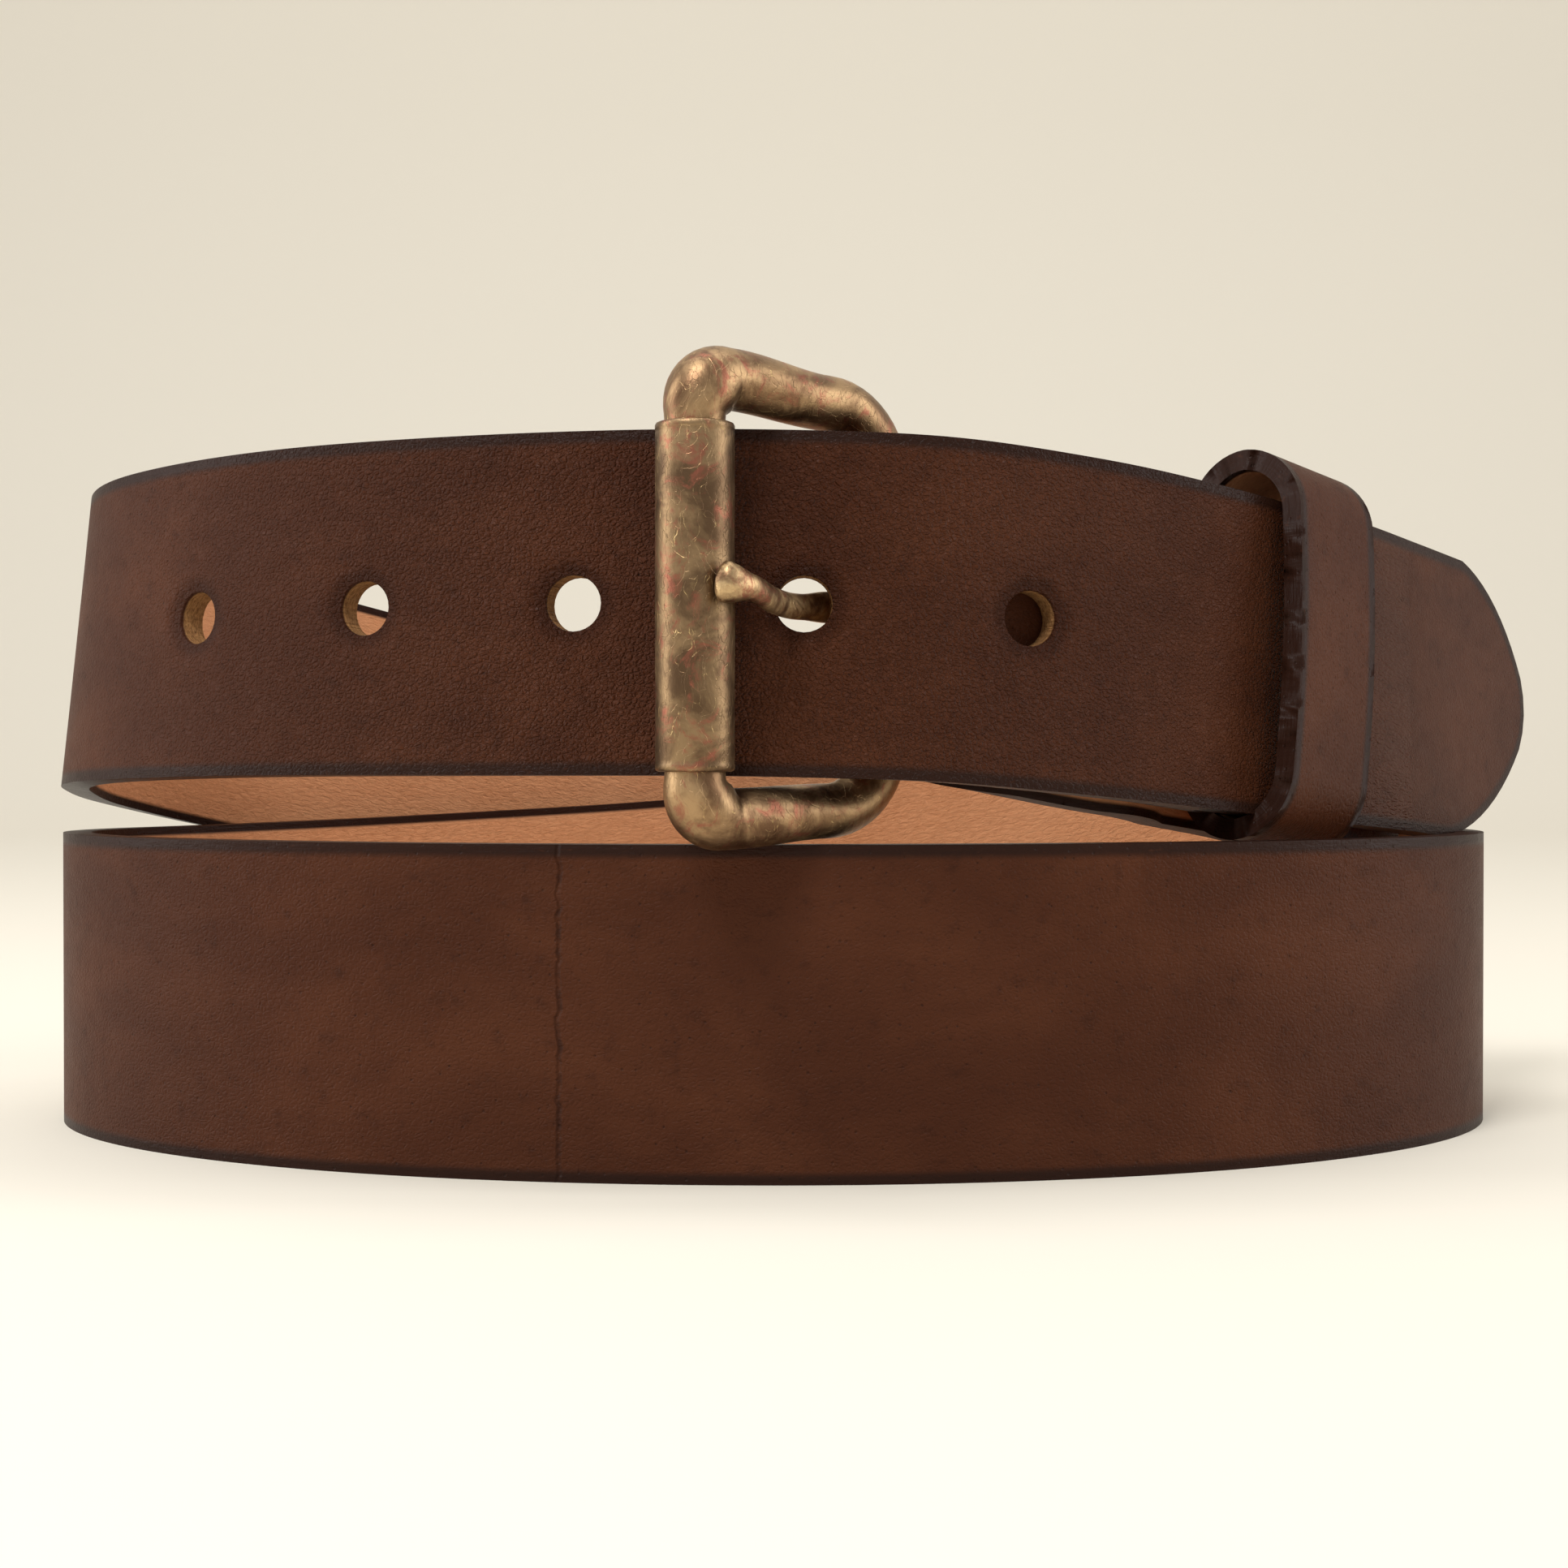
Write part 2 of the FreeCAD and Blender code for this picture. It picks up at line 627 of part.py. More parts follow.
def keeper_shape():
    wall = size("keeperthick")
    depth = CAVITY_FRONT + CAVITY_BACK
    tall = size("keeperheight")
    width_along = size("keeperwidth")
    outer = Part.makeBox(width_along, depth + 2.0 * wall, tall + 2.0 * wall)
    outer = outer.makeFillet(size("keeperround"), [
        edge for edge in outer.Edges if abs(edge.Vertexes[0].X - edge.Vertexes[1].X) > 1.0
    ])
    inner = Part.makeBox(width_along, depth, tall, Vector(0, wall, wall))
    inner = inner.makeFillet(size("keeperround") - wall, [
        edge for edge in inner.Edges if abs(edge.Vertexes[0].X - edge.Vertexes[1].X) > 1.0
    ])
    band = outer.cut(inner)
    seam = Part.makeBox(
        width_along, wall, SEAM, Vector(0, wall + depth, wall + tall / 2.0 - SEAM / 2.0)
    )
    band = band.cut(seam)
    band.translate(Vector(-width_along / 2.0, -wall - CAVITY_FRONT, -wall - tall / 2.0))
    for along in STAPLE_PLACES:
        for level in (-STAPLE_SPAN / 2.0, STAPLE_SPAN / 2.0):
            hole = Part.makeBox(
                STAPLE_WIRE + 0.1, wall, STAPLE_WIRE + 0.1,
                Vector(along - STAPLE_WIRE / 2 - 0.05, CAVITY_BACK, level - STAPLE_WIRE / 2 - 0.05),
            )
            band = band.cut(hole)
    band.Placement = keeper_level.placement(0.0, KEEPER_LIFT).multiply(band.Placement)
    return band


STAPLE_WIRE = 0.7
STAPLE_SPAN = 8.0
STAPLE_PLACES = (-3.2, 3.2)
keeper = add_shape("keeper", keeper_shape())


def staple_shape(along):
    wall = size("keeperthick")
    half = STAPLE_SPAN / 2.0
    side = along - STAPLE_WIRE / 2.0
    crown = Part.makeBox(
        STAPLE_WIRE, STAPLE_WIRE, STAPLE_SPAN + STAPLE_WIRE,
        Vector(side, CAVITY_BACK + wall, -half - STAPLE_WIRE / 2.0),
    )
    body = crown
    for level in (-half, half):
        leg = Part.makeBox(
            STAPLE_WIRE, wall, STAPLE_WIRE, Vector(side, CAVITY_BACK, level - STAPLE_WIRE / 2.0)
        )
        body = body.fuse(leg)
    body = body.removeSplitter()
    body.Placement = keeper_level.placement(0.0, KEEPER_LIFT).multiply(body.Placement)
    return body


staple_front = add_shape("keeper_staple_front", staple_shape(STAPLE_PLACES[0]))
staple_rear = add_shape("keeper_staple_rear", staple_shape(STAPLE_PLACES[1]))

# ---------------------------------------------------------------- post and screw pairs


def along_inward(station, start):
    """Local Z runs inward along the strap's normal, from start outward of the middle."""
    inward = station.out * -1.0
    return Placement(station.point(start, 0.0), Rotation(Vector(0, 0, 1), inward))


def screw_pair(name, station):
    head = size("headthick")
    front = THICK / 2.0 - size("recess") + 0.02
    post_place = along_inward(station, front + head)
    barrel_place = along_inward(station, front + head / 2.0)
    post_head = add_primitive(
        "Cylinder", "post_head_" + name, post_place,
        Radius="sizes.headradius", Height="sizes.headthick",
    )
    barrel = add_primitive(
        "Cylinder", "post_barrel_" + name, barrel_place,
        Radius="sizes.postradius", Height="%.4f" % (FOLD_STACK - size("recess") * 2 + head / 2 - 0.3),
    )
    tapping = add_primitive(
        "Cylinder", "post_tapping_" + name, along_inward(station, front - 0.5),
        Radius="sizes.threadradius + 0.05", Height="%.4f" % FOLD_STACK,
    )
    post = cut("screw_post_" + name, fused("post_solid_" + name, [post_head, barrel]), tapping)
    back = -(FOLD_STACK - THICK / 2.0) + size("recess") - 0.02
    screw_head = add_primitive(
        "Cylinder", "screw_head_" + name, along_inward(station, back),
        Radius="sizes.headradius", Height="sizes.headthick",
    )
    shank_length = FOLD_STACK - 2.6
    shank = add_primitive(
        "Cylinder", "screw_shank_" + name, along_inward(station, back + shank_length),
        Radius="sizes.threadradius", Height="%.4f" % (shank_length + head / 2.0),
    )
    slot = DOC.addObject("Part::Box", "screw_slot_" + name)
    slot.setExpression("Length", "2 * sizes.headradius + 1")
    slot.setExpression("Width", "1.2")
    slot.setExpression("Height", "sizes.headthick")
    slot_turn = along_inward(station, back - 0.55 * head)
    half = size("headradius") + 0.5
    slot.Placement = slot_turn.multiply(Placement(Vector(-half, -0.6, 0.0), Rotation()))
    screw = cut("screw_" + name, fused("screw_solid_" + name, [screw_head, shank]), slot)
    return post, screw


post_front, screw_front = screw_pair("front", FRONT_SCREW)
post_rear, screw_rear = screw_pair("rear", REAR_SCREW)
DOC.recompute()

# ---------------------------------------------------------------- write
NODES = {
    "strap": strap,
    "keeper": keeper,
    "keeper_staple_front": staple_front,
    "keeper_staple_rear": staple_rear,
    "buckle_frame": buckle_frame,
    "roller": roller,
    "prong": prong,
    "screw_post_front": post_front,
    "screw_post_rear": post_rear,
    "screw_front": screw_front,
    "screw_rear": screw_rear,
}
for item in DOC.Objects:
    if "Invalid" in item.State or "Error" in item.State:
        raise RuntimeError("%s did not compute: %s" % (item.Label, item.State))

# The model is centred over the origin before it is written.
whole = Part.makeCompound([item.Shape for item in NODES.values()]).optimalBoundingBox(False, False)
centre = Vector((whole.XMin + whole.XMax) / 2.0, (whole.YMin + whole.YMax) / 2.0, 0.0)

os.makedirs("parts", exist_ok=True)
for node, item in NODES.items():
    shape = item.Shape.copy()
    if shape.isNull() or not shape.isValid() or len(shape.Solids) != 1:
        raise RuntimeError("%s is not one sound solid" % node)
    shape.translate(centre * -1.0)
    shape.exportStep("parts/%s.step" % node)
    print(node, round(shape.Volume, 1), shape.BoundBox)
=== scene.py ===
"""A buckled leather belt standing on its edge, coiled into two turns.

Lengths inside the classes are millimetres; meshes are written in metres.
"""

import logging
import math
from dataclasses import dataclass, field
from enum import Enum
from typing import Callable, Sequence

import bmesh
import bpy
from mathutils import Matrix, Vector


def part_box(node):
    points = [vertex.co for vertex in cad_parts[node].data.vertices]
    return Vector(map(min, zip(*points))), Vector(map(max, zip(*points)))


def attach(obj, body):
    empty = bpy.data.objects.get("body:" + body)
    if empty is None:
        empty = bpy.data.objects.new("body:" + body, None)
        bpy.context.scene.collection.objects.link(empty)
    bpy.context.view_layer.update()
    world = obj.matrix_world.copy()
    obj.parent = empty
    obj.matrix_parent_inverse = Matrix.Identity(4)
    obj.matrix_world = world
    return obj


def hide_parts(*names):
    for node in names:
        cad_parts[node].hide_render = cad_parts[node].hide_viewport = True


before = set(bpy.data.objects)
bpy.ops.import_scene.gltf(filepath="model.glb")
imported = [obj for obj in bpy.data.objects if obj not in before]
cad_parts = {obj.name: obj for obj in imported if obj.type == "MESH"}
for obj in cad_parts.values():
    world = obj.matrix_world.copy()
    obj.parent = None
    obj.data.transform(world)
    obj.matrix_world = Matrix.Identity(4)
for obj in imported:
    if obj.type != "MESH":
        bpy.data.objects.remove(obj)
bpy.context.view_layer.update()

LOG = logging.getLogger("belt")
MM = 0.001

Colour = tuple[float, float, float]


# ------------------------------------------------------------------ shader maths


class Value:
    """A number socket that Python's operators can work on."""

    def __init__(self, graph: "Graph", socket: bpy.types.NodeSocket) -> None:
        """Wrap a socket of a node graph."""
        self.graph = graph
        self.socket = socket

    def _maths(self, operation: str, other: "Value | float", swap: bool = False) -> "Value":
        """Add one Math node and return its result."""
        pair = [other, self] if swap else [self, other]
        node = self.graph.node("ShaderNodeMath", {"operation": operation}, pair)
        return Value(self.graph, node.outputs[0])

    def __add__(self, other: "Value | float") -> "Value":
        """Sum."""
        return self._maths("ADD", other)

    __radd__ = __add__

    def __sub__(self, other: "Value | float") -> "Value":
        """Difference."""
        return self._maths("SUBTRACT", other)

    def __rsub__(self, other: "Value | float") -> "Value":
        """Difference the other way round."""
        return self._maths("SUBTRACT", other, swap=True)

    def __mul__(self, other: "Value | float") -> "Value":
        """Product."""
        return self._maths("MULTIPLY", other)

    __rmul__ = __mul__

    def __truediv__(self, other: "Value | float") -> "Value":
        """Quotient."""
        return self._maths("DIVIDE", other)

    def __rtruediv__(self, other: "Value | float") -> "Value":
        """Quotient the other way round."""
        return self._maths("DIVIDE", other, swap=True)

    def __pow__(self, other: "Value | float") -> "Value":
        """Power."""
        return self._maths("POWER", other)

    def __abs__(self) -> "Value":
        """Size without sign."""
        return self._maths("ABSOLUTE", 0.0)

    def ramp(self, low: float, high: float) -> "Value":
        """Go smoothly from 0 at low to 1 at high.

        Args:
            low: where the result is 0.
            high: where the result is 1; it may be below low.

        Returns:
            The smooth step.
        """
        if low > high:
            return 1.0 - self.ramp(high, low)
        node = self.graph.node(
            "ShaderNodeMapRange",
            {"interpolation_type": "SMOOTHSTEP"},
            {"Value": self, "From Min": low, "From Max": high},
        )
        return Value(self.graph, node.outputs[0])


class Graph:
    """The node tree of one material."""

    def __init__(self, name: str) -> None:
        """Start an empty material."""
        self.material = bpy.data.materials.new(name)
        self.material.use_nodes = True
        self.tree = self.material.node_tree
        self.tree.nodes.clear()

    def node(
        self,
        kind: str,
        settings: dict[str, object] | None = None,
        inputs: "dict[str, object] | Sequence[object] | None" = None,
    ) -> bpy.types.Node:
        """Add a node.

        Args:
            kind: the node's type.
            settings: properties to set before the sockets.
            inputs: values, colours or sockets, by socket name or in order.

        Returns:
            The new node.
        """
        made = self.tree.nodes.new(kind)
        for key, setting in (settings or {}).items():
            setattr(made, key, setting)
        pairs = inputs.items() if isinstance(inputs, dict) else enumerate(inputs or [])
        for key, given in pairs:
            socket = made.inputs[key]
            if isinstance(given, Value):
                self.tree.links.new(given.socket, socket)
            elif isinstance(given, bpy.types.NodeSocket):
                self.tree.links.new(given, socket)
            else:
                socket.default_value = given
        return made

    def attribute(self, name: str) -> bpy.types.Node:
        """Read an attribute of the mesh."""
        return self.node("ShaderNodeAttribute", {"attribute_name": name})

    def scaled(self, vector: bpy.types.NodeSocket, by: tuple[float, float, float]) -> bpy.types.NodeSocket:
        """Multiply a vector, part by part."""
        made = self.node("ShaderNodeVectorMath", {"operation": "MULTIPLY"}, [vector, by])
        return made.outputs[0]

    def noise(
        self,
        vector: bpy.types.NodeSocket,
        scale: float,
        detail: float = 3.0,
        roughness: float = 0.55,
        distortion: float = 0.0,
    ) -> Value:
        """Smooth random values between about 0 and 1."""
        made = self.node(
            "ShaderNodeTexNoise",
            None,
            {
                "Vector": vector,
                "Scale": scale,
                "Detail": detail,
                "Roughness": roughness,
                "Distortion": distortion,
            },
        )
        return Value(self, made.outputs[0])

    def cells(self, vector: bpy.types.NodeSocket, scale: float, edges: bool = False) -> Value:
        """Distance to the nearest cell's middle, or to its edge."""
        feature = "DISTANCE_TO_EDGE" if edges else "F1"
        made = self.node(
            "ShaderNodeTexVoronoi", {"feature": feature}, {"Vector": vector, "Scale": scale}
        )
        return Value(self, made.outputs["Distance"])

    def mix(
        self,
        factor: Value,
        first: "bpy.types.NodeSocket | Colour",
        second: "bpy.types.NodeSocket | Colour",
    ) -> bpy.types.NodeSocket:
        """Mix two colours.

        Args:
            factor: 0 gives the first colour and 1 the second.
            first: a colour or a socket.
            second: a colour or a socket.

        Returns:
            The mixed colour's socket.
        """
        made = self.node("ShaderNodeMix", {"data_type": "RGBA", "clamp_factor": True})
        self.tree.links.new(factor.socket, made.inputs[0])
        for index, given in ((6, first), (7, second)):
            if isinstance(given, bpy.types.NodeSocket):
                self.tree.links.new(given, made.inputs[index])
            else:
                made.inputs[index].default_value = (*given, 1.0)
        return made.outputs[2]

    def bump(
        self, height: Value, distance: float, strength: float = 1.0,
        under: bpy.types.NodeSocket | None = None,
    ) -> bpy.types.NodeSocket:
        """Turn a height into a normal."""
        made = self.node("ShaderNodeBump", None, {"Height": height})
        made.inputs["Distance"].default_value = distance
        made.inputs["Strength"].default_value = strength
        if under is not None:
            self.tree.links.new(under, made.inputs["Normal"])
        return made.outputs[0]

    def finish(self, varying: dict[str, object], fixed: dict[str, object]) -> bpy.types.Material:
        """End the graph in a Principled shader.

        Args:
            varying: inputs fed by links or values.
            fixed: inputs that are the same all over.

        Returns:
            The finished material.
        """
        shader = self.node("ShaderNodeBsdfPrincipled", None, {**fixed, **varying})
        out = self.node("ShaderNodeOutputMaterial")
        self.tree.links.new(shader.outputs[0], out.inputs[0])
        return self.material


# ------------------------------------------------------------------ finishes


@dataclass(frozen=True)
class BridleLeather:
    """Dark brown vegetable-tanned leather, with a burnished edge and a tan back."""

    name: str = "bridle_leather"
    grain: Colour = (0.050, 0.0140, 0.0052)
    warm: Colour = (0.074, 0.0225, 0.0088)
    deep: Colour = (0.020, 0.0060, 0.0030)
    dyed_edge: Colour = (0.014, 0.0060, 0.0042)
    back: Colour = (0.66, 0.31, 0.150)
    fibre: Colour = (0.42, 0.22, 0.085)
    thickness: float = 3.6
    pebble_middle: float = 0.0
    pebble_reach: float = 90.0
    crease_at: float | None = None

    def build(self) -> bpy.types.Material:
        """Build the node graph.

        Returns:
            The material, which reads the mesh's flat_place, rim and bore attributes.
        """
        graph = Graph(self.name)
        place = graph.attribute("flat_place").outputs["Vector"]
        split = graph.node("ShaderNodeSeparateXYZ", None, [place])
        along = Value(graph, split.outputs[0])
        depth = Value(graph, split.outputs[2])
        rim = Value(graph, graph.attribute("rim").outputs["Fac"])
        bore = Value(graph, graph.attribute("bore").outputs["Fac"])
        half = self.thickness / 2.0

        clouds = graph.noise(graph.scaled(place, (0.030, 0.05, 0.0)), 1.0, 4.0, 0.6, 0.3)
        mottle = graph.noise(place, 0.42, 4.0, 0.65)
        specks = graph.noise(place, 3.2, 2.0, 0.7)
        pores = graph.cells(place, 0.85)
        pebble = graph.cells(graph.scaled(place, (1.0, 1.25, 0.0)), 1.35, edges=True)
        creases = graph.cells(graph.scaled(place, (0.8, 1.1, 0.0)), 2.6, edges=True)

        colour = graph.mix(clouds.ramp(0.35, 0.72), self.grain, self.warm)
        colour = graph.mix(mottle.ramp(0.52, 0.80) * 0.45, colour, self.deep)
        colour = graph.mix(specks.ramp(0.66, 0.82) * 0.30, colour, self.warm)
        colour = graph.mix(pores.ramp(0.16, 0.06) * specks.ramp(0.4, 0.62) * 0.75, colour, self.deep)
        # Colour pulled halfway to the deep brown within about 2.4 mm of each hole: painted shade in the
        # dished hole rims.
        colour = graph.mix(bore.ramp(2.4, 0.4) * 0.5, colour, self.deep)

        scuff = graph.noise(graph.scaled(place, (0.9, 3.0, 1.0)), 0.8, 3.0, 0.6)
        near_rim = rim.ramp(1.9, 0.9)
        colour = graph.mix(near_rim * 0.85, colour, self.dyed_edge)
        colour = graph.mix(near_rim * scuff.ramp(0.62, 0.78) * 0.35, colour, self.warm)

        hair = graph.noise(graph.scaled(place, (0.5, 1.3, 1.0)), 1.6, 5.0, 0.7, 0.8)
        back = graph.mix(hair.ramp(0.35, 0.75), self.back, (0.50, 0.215, 0.095))
        back = graph.mix(clouds.ramp(0.3, 0.8) * 0.5, back, (0.74, 0.38, 0.20))
        on_back = depth.ramp(-half + 0.55, -half + 0.1) * rim.ramp(0.9, 1.5)
        colour = graph.mix(on_back, colour, back)

        thread = graph.noise(graph.scaled(place, (2.0, 2.0, 5.0)), 0.9, 4.0, 0.7)
        raw = graph.mix(thread.ramp(0.3, 0.7), self.fibre, (0.17, 0.075, 0.028))
        in_bore = bore.ramp(0.12, 0.02) * depth.ramp(half - 0.35, half - 0.75)
        colour = graph.mix(in_bore, colour, raw)

        near_buckle = abs(along - self.pebble_middle).ramp(self.pebble_reach, 15.0)
        strength = 0.40 + near_buckle * 1.5
        grain_height = pebble.ramp(0.0, 0.28) * 0.55 + creases.ramp(0.0, 0.20) * 0.25
        height = grain_height * strength * (1.0 - near_rim * 0.7)
        height = height + mottle * 0.35 - pores.ramp(0.20, 0.05) * 0.35
        if self.crease_at is not None:
            wander = graph.noise(graph.scaled(place, (0.0, 0.35, 0.0)), 1.0, 2.0)
            line = abs(along - self.crease_at + (wander - 0.5) * 1.6)
            height = height - line.ramp(0.42, 0.0) * 0.9
            # Colour pulled towards the deep brown in patches along the crease: painted shade in the
            # crease's dent.
            colour = graph.mix(line.ramp(0.5, 0.05) * mottle.ramp(0.35, 0.6) * 0.65, colour, self.deep)
        height = height * (1.0 - on_back) + on_back * hair * 1.6 + in_bore * thread * 2.0
        edge_lines = graph.noise(graph.scaled(place, (0.35, 2.5, 2.5)), 1.0, 3.0)
        height = height + near_rim * edge_lines * 0.5
        normal = graph.bump(height, 0.00022, 1.0)

        rough = 0.41 + mottle * 0.16 - near_buckle * 0.04 - near_rim * 0.08
        rough = rough + on_back * 0.42 + in_bore * 0.4
        return graph.finish(
            {"Base Color": colour, "Roughness": rough, "Normal": normal},
            {"Specular IOR Level": 0.09},
        )


@dataclass(frozen=True)
class AntiqueBrass:
    """Brass darkened with age, with red-brown patches and bright rubbed marks."""

    name: str
    dark: Colour = (0.150, 0.082, 0.044)
    olive: Colour = (0.400, 0.260, 0.135)
    red: Colour = (0.290, 0.100, 0.064)
    bright: Colour = (0.78, 0.56, 0.25)
    rubbed: float = 0.25
    grain_scale: float = 1.0

    def build(self) -> bpy.types.Material:
        """Build the node graph on object coordinates.

        Returns:
            The material.
        """
        graph = Graph(self.name)
        place = graph.node("ShaderNodeTexCoord").outputs["Object"]
        size = 1000.0 * self.grain_scale
        patches = graph.noise(place, 0.16 * size, 5.0, 0.62, 0.6)
        rust = graph.noise(place, 0.30 * size, 5.0, 0.7, 1.2)
        grit = graph.noise(place, 1.9 * size, 4.0, 0.7)
        wear = graph.noise(place, 0.42 * size, 6.0, 0.72, 0.4)
        bent = graph.node(
            "ShaderNodeVectorMath",
            {"operation": "ADD"},
            [place, graph.scaled(graph.node(
                "ShaderNodeTexNoise", None, {"Vector": place, "Scale": 0.25 * size}
            ).outputs["Color"], (0.004, 0.004, 0.004))],
        ).outputs[0]
        lines = graph.cells(graph.scaled(bent, (1.0, 1.0, 0.22)), 1.1 * size, edges=True)
        scratch = lines.ramp(0.030, 0.004) * wear.ramp(0.52, 0.70)

        colour = graph.mix(patches.ramp(0.38, 0.64), self.dark, self.olive)
        colour = graph.mix(rust.ramp(0.52, 0.68) * 0.85, colour, self.red)
        colour = graph.mix(grit.ramp(0.60, 0.78) * 0.5, colour, self.dark)
        colour = graph.mix(wear.ramp(0.60, 0.78) * self.rubbed, colour, self.bright)
        colour = graph.mix(scratch * 0.9, colour, self.bright)
        rough = 0.27 + patches * 0.14 + grit * 0.10 - scratch * 0.08
        height = grit * 0.55 + wear * 0.5 - lines.ramp(0.02, 0.0) * 0.35
        normal = graph.bump(height, 0.00009, 0.55)
        return graph.finish(
            {"Base Color": colour, "Roughness": rough, "Normal": normal}, {"Metallic": 1.0}
        )


@dataclass(frozen=True)
class StapleWire:
    """Plain drawn wire."""

    name: str = "staple_wire"

    def build(self) -> bpy.types.Material:
        """Build the node graph."""
        graph = Graph(self.name)
        place = graph.node("ShaderNodeTexCoord").outputs["Object"]
        drawn = graph.noise(graph.scaled(place, (1.0, 1.0, 0.1)), 2500.0)
        colour = graph.mix(drawn, (0.42, 0.40, 0.37), (0.55, 0.53, 0.50))
        return graph.finish(
            {"Base Color": colour, "Roughness": 0.30 + drawn * 0.2}, {"Metallic": 1.0}
        )


@dataclass(frozen=True)
class PaperSweep:
    """The pale studio floor."""

    name: str = "paper_sweep"
    colour: Colour = (0.72, 0.672, 0.580)

    def build(self) -> bpy.types.Material:
        """Build the node graph."""
        graph = Graph(self.name)
        return graph.finish({"Base Color": (*self.colour, 1.0)}, {"Roughness": 0.95})


# ------------------------------------------------------------------ the strap's lie


def smooth_curve(knots: Sequence[float], values: Sequence[float]) -> Callable[[float], float]:
    """Make a curve through the values that never overshoots them.

    Args:
        knots: rising positions.
        values: the value at each position.

    Returns:
        A function of the position.
    """
    steps = [b - a for a, b in zip(knots, knots[1:])]
    slopes = [(b - a) / h for a, b, h in zip(values, values[1:], steps)]
    tangents = [slopes[0]]
    for k in range(1, len(slopes)):
        before, after = slopes[k - 1], slopes[k]
        if before * after <= 0.0:
            tangents.append(0.0)
            continue
        w1 = 2.0 * steps[k] + steps[k - 1]
        w2 = steps[k] + 2.0 * steps[k - 1]
        tangents.append((w1 + w2) / (w1 / before + w2 / after))
    tangents.append(slopes[-1])

    def value_at(x: float) -> float:
        """Read the curve at one position."""
        k = 0
        while k < len(steps) - 1 and x > knots[k + 1]:
            k += 1
        t = (x - knots[k]) / steps[k]
        return (
            (2 * t**3 - 3 * t**2 + 1) * values[k]
            + (t**3 - 2 * t**2 + t) * steps[k] * tangents[k]
            + (3 * t**2 - 2 * t**3) * values[k + 1]
            + (t**3 - t**2) * steps[k] * tangents[k + 1]
        )

    return value_at


@dataclass
class Section:
    """Where one cross-section of a leather band stands."""

    middle: Vector
    out: Vector
    up: Vector

    def place(self, across: float, outward: float) -> Vector:
        """Find a point of the section, in millimetres."""
        return self.middle + self.up * across + self.out * outward


@dataclass
class Route:
    """A band's lie: sections by distance along the leather."""

    sections: list[Section] = field(default_factory=list)
    distances: list[float] = field(default_factory=list)

    def add(self, section: Section) -> None:
        """Add the next section."""
        if self.sections:
            step = (section.middle - self.sections[-1].middle).length
            if step < 1e-6:
                return
            self.distances.append(self.distances[-1] + step)
        else:
            self.distances.append(0.0)
        self.sections.append(section)

    def soften(self, reach: int) -> None:
        """Even out small kinks by averaging each section with its neighbours."""
        count = len(self.sections)
        middles = [s.middle.copy() for s in self.sections]
        outs = [s.out.copy() for s in self.sections]
        for k in range(count):
            near = min(reach, k, count - 1 - k)
            weights = [1.0 - abs(j) / (near + 1.0) for j in range(-near, near + 1)]
            total = sum(weights)
            middle, out = Vector(), Vector()
            for j, weight in zip(range(-near, near + 1), weights):
                middle += middles[k + j] * (weight / total)
                out += outs[k + j] * (weight / total)
            section = self.sections[k]
            section.middle = middle
            out -= section.up * out.dot(section.up)
            section.out = out.normalized()

    def at(self, distance: float) -> Section:
        """Interpolate the section at a distance."""
        low, high = 0, len(self.distances) - 1
        while high - low > 1:
            half = (low + high) // 2
            if self.distances[half] <= distance:
                low = half
            else:
                high = half
        span = self.distances[high] - self.distances[low]
        t = (distance - self.distances[low]) / span
        a, b = self.sections[low], self.sections[high]
        return Section(
            a.middle.lerp(b.middle, t),
            a.out.lerp(b.out, min(max(t, 0.0), 1.0)).normalized(),
            a.up.lerp(b.up, min(max(t, 0.0), 1.0)).normalized(),
        )


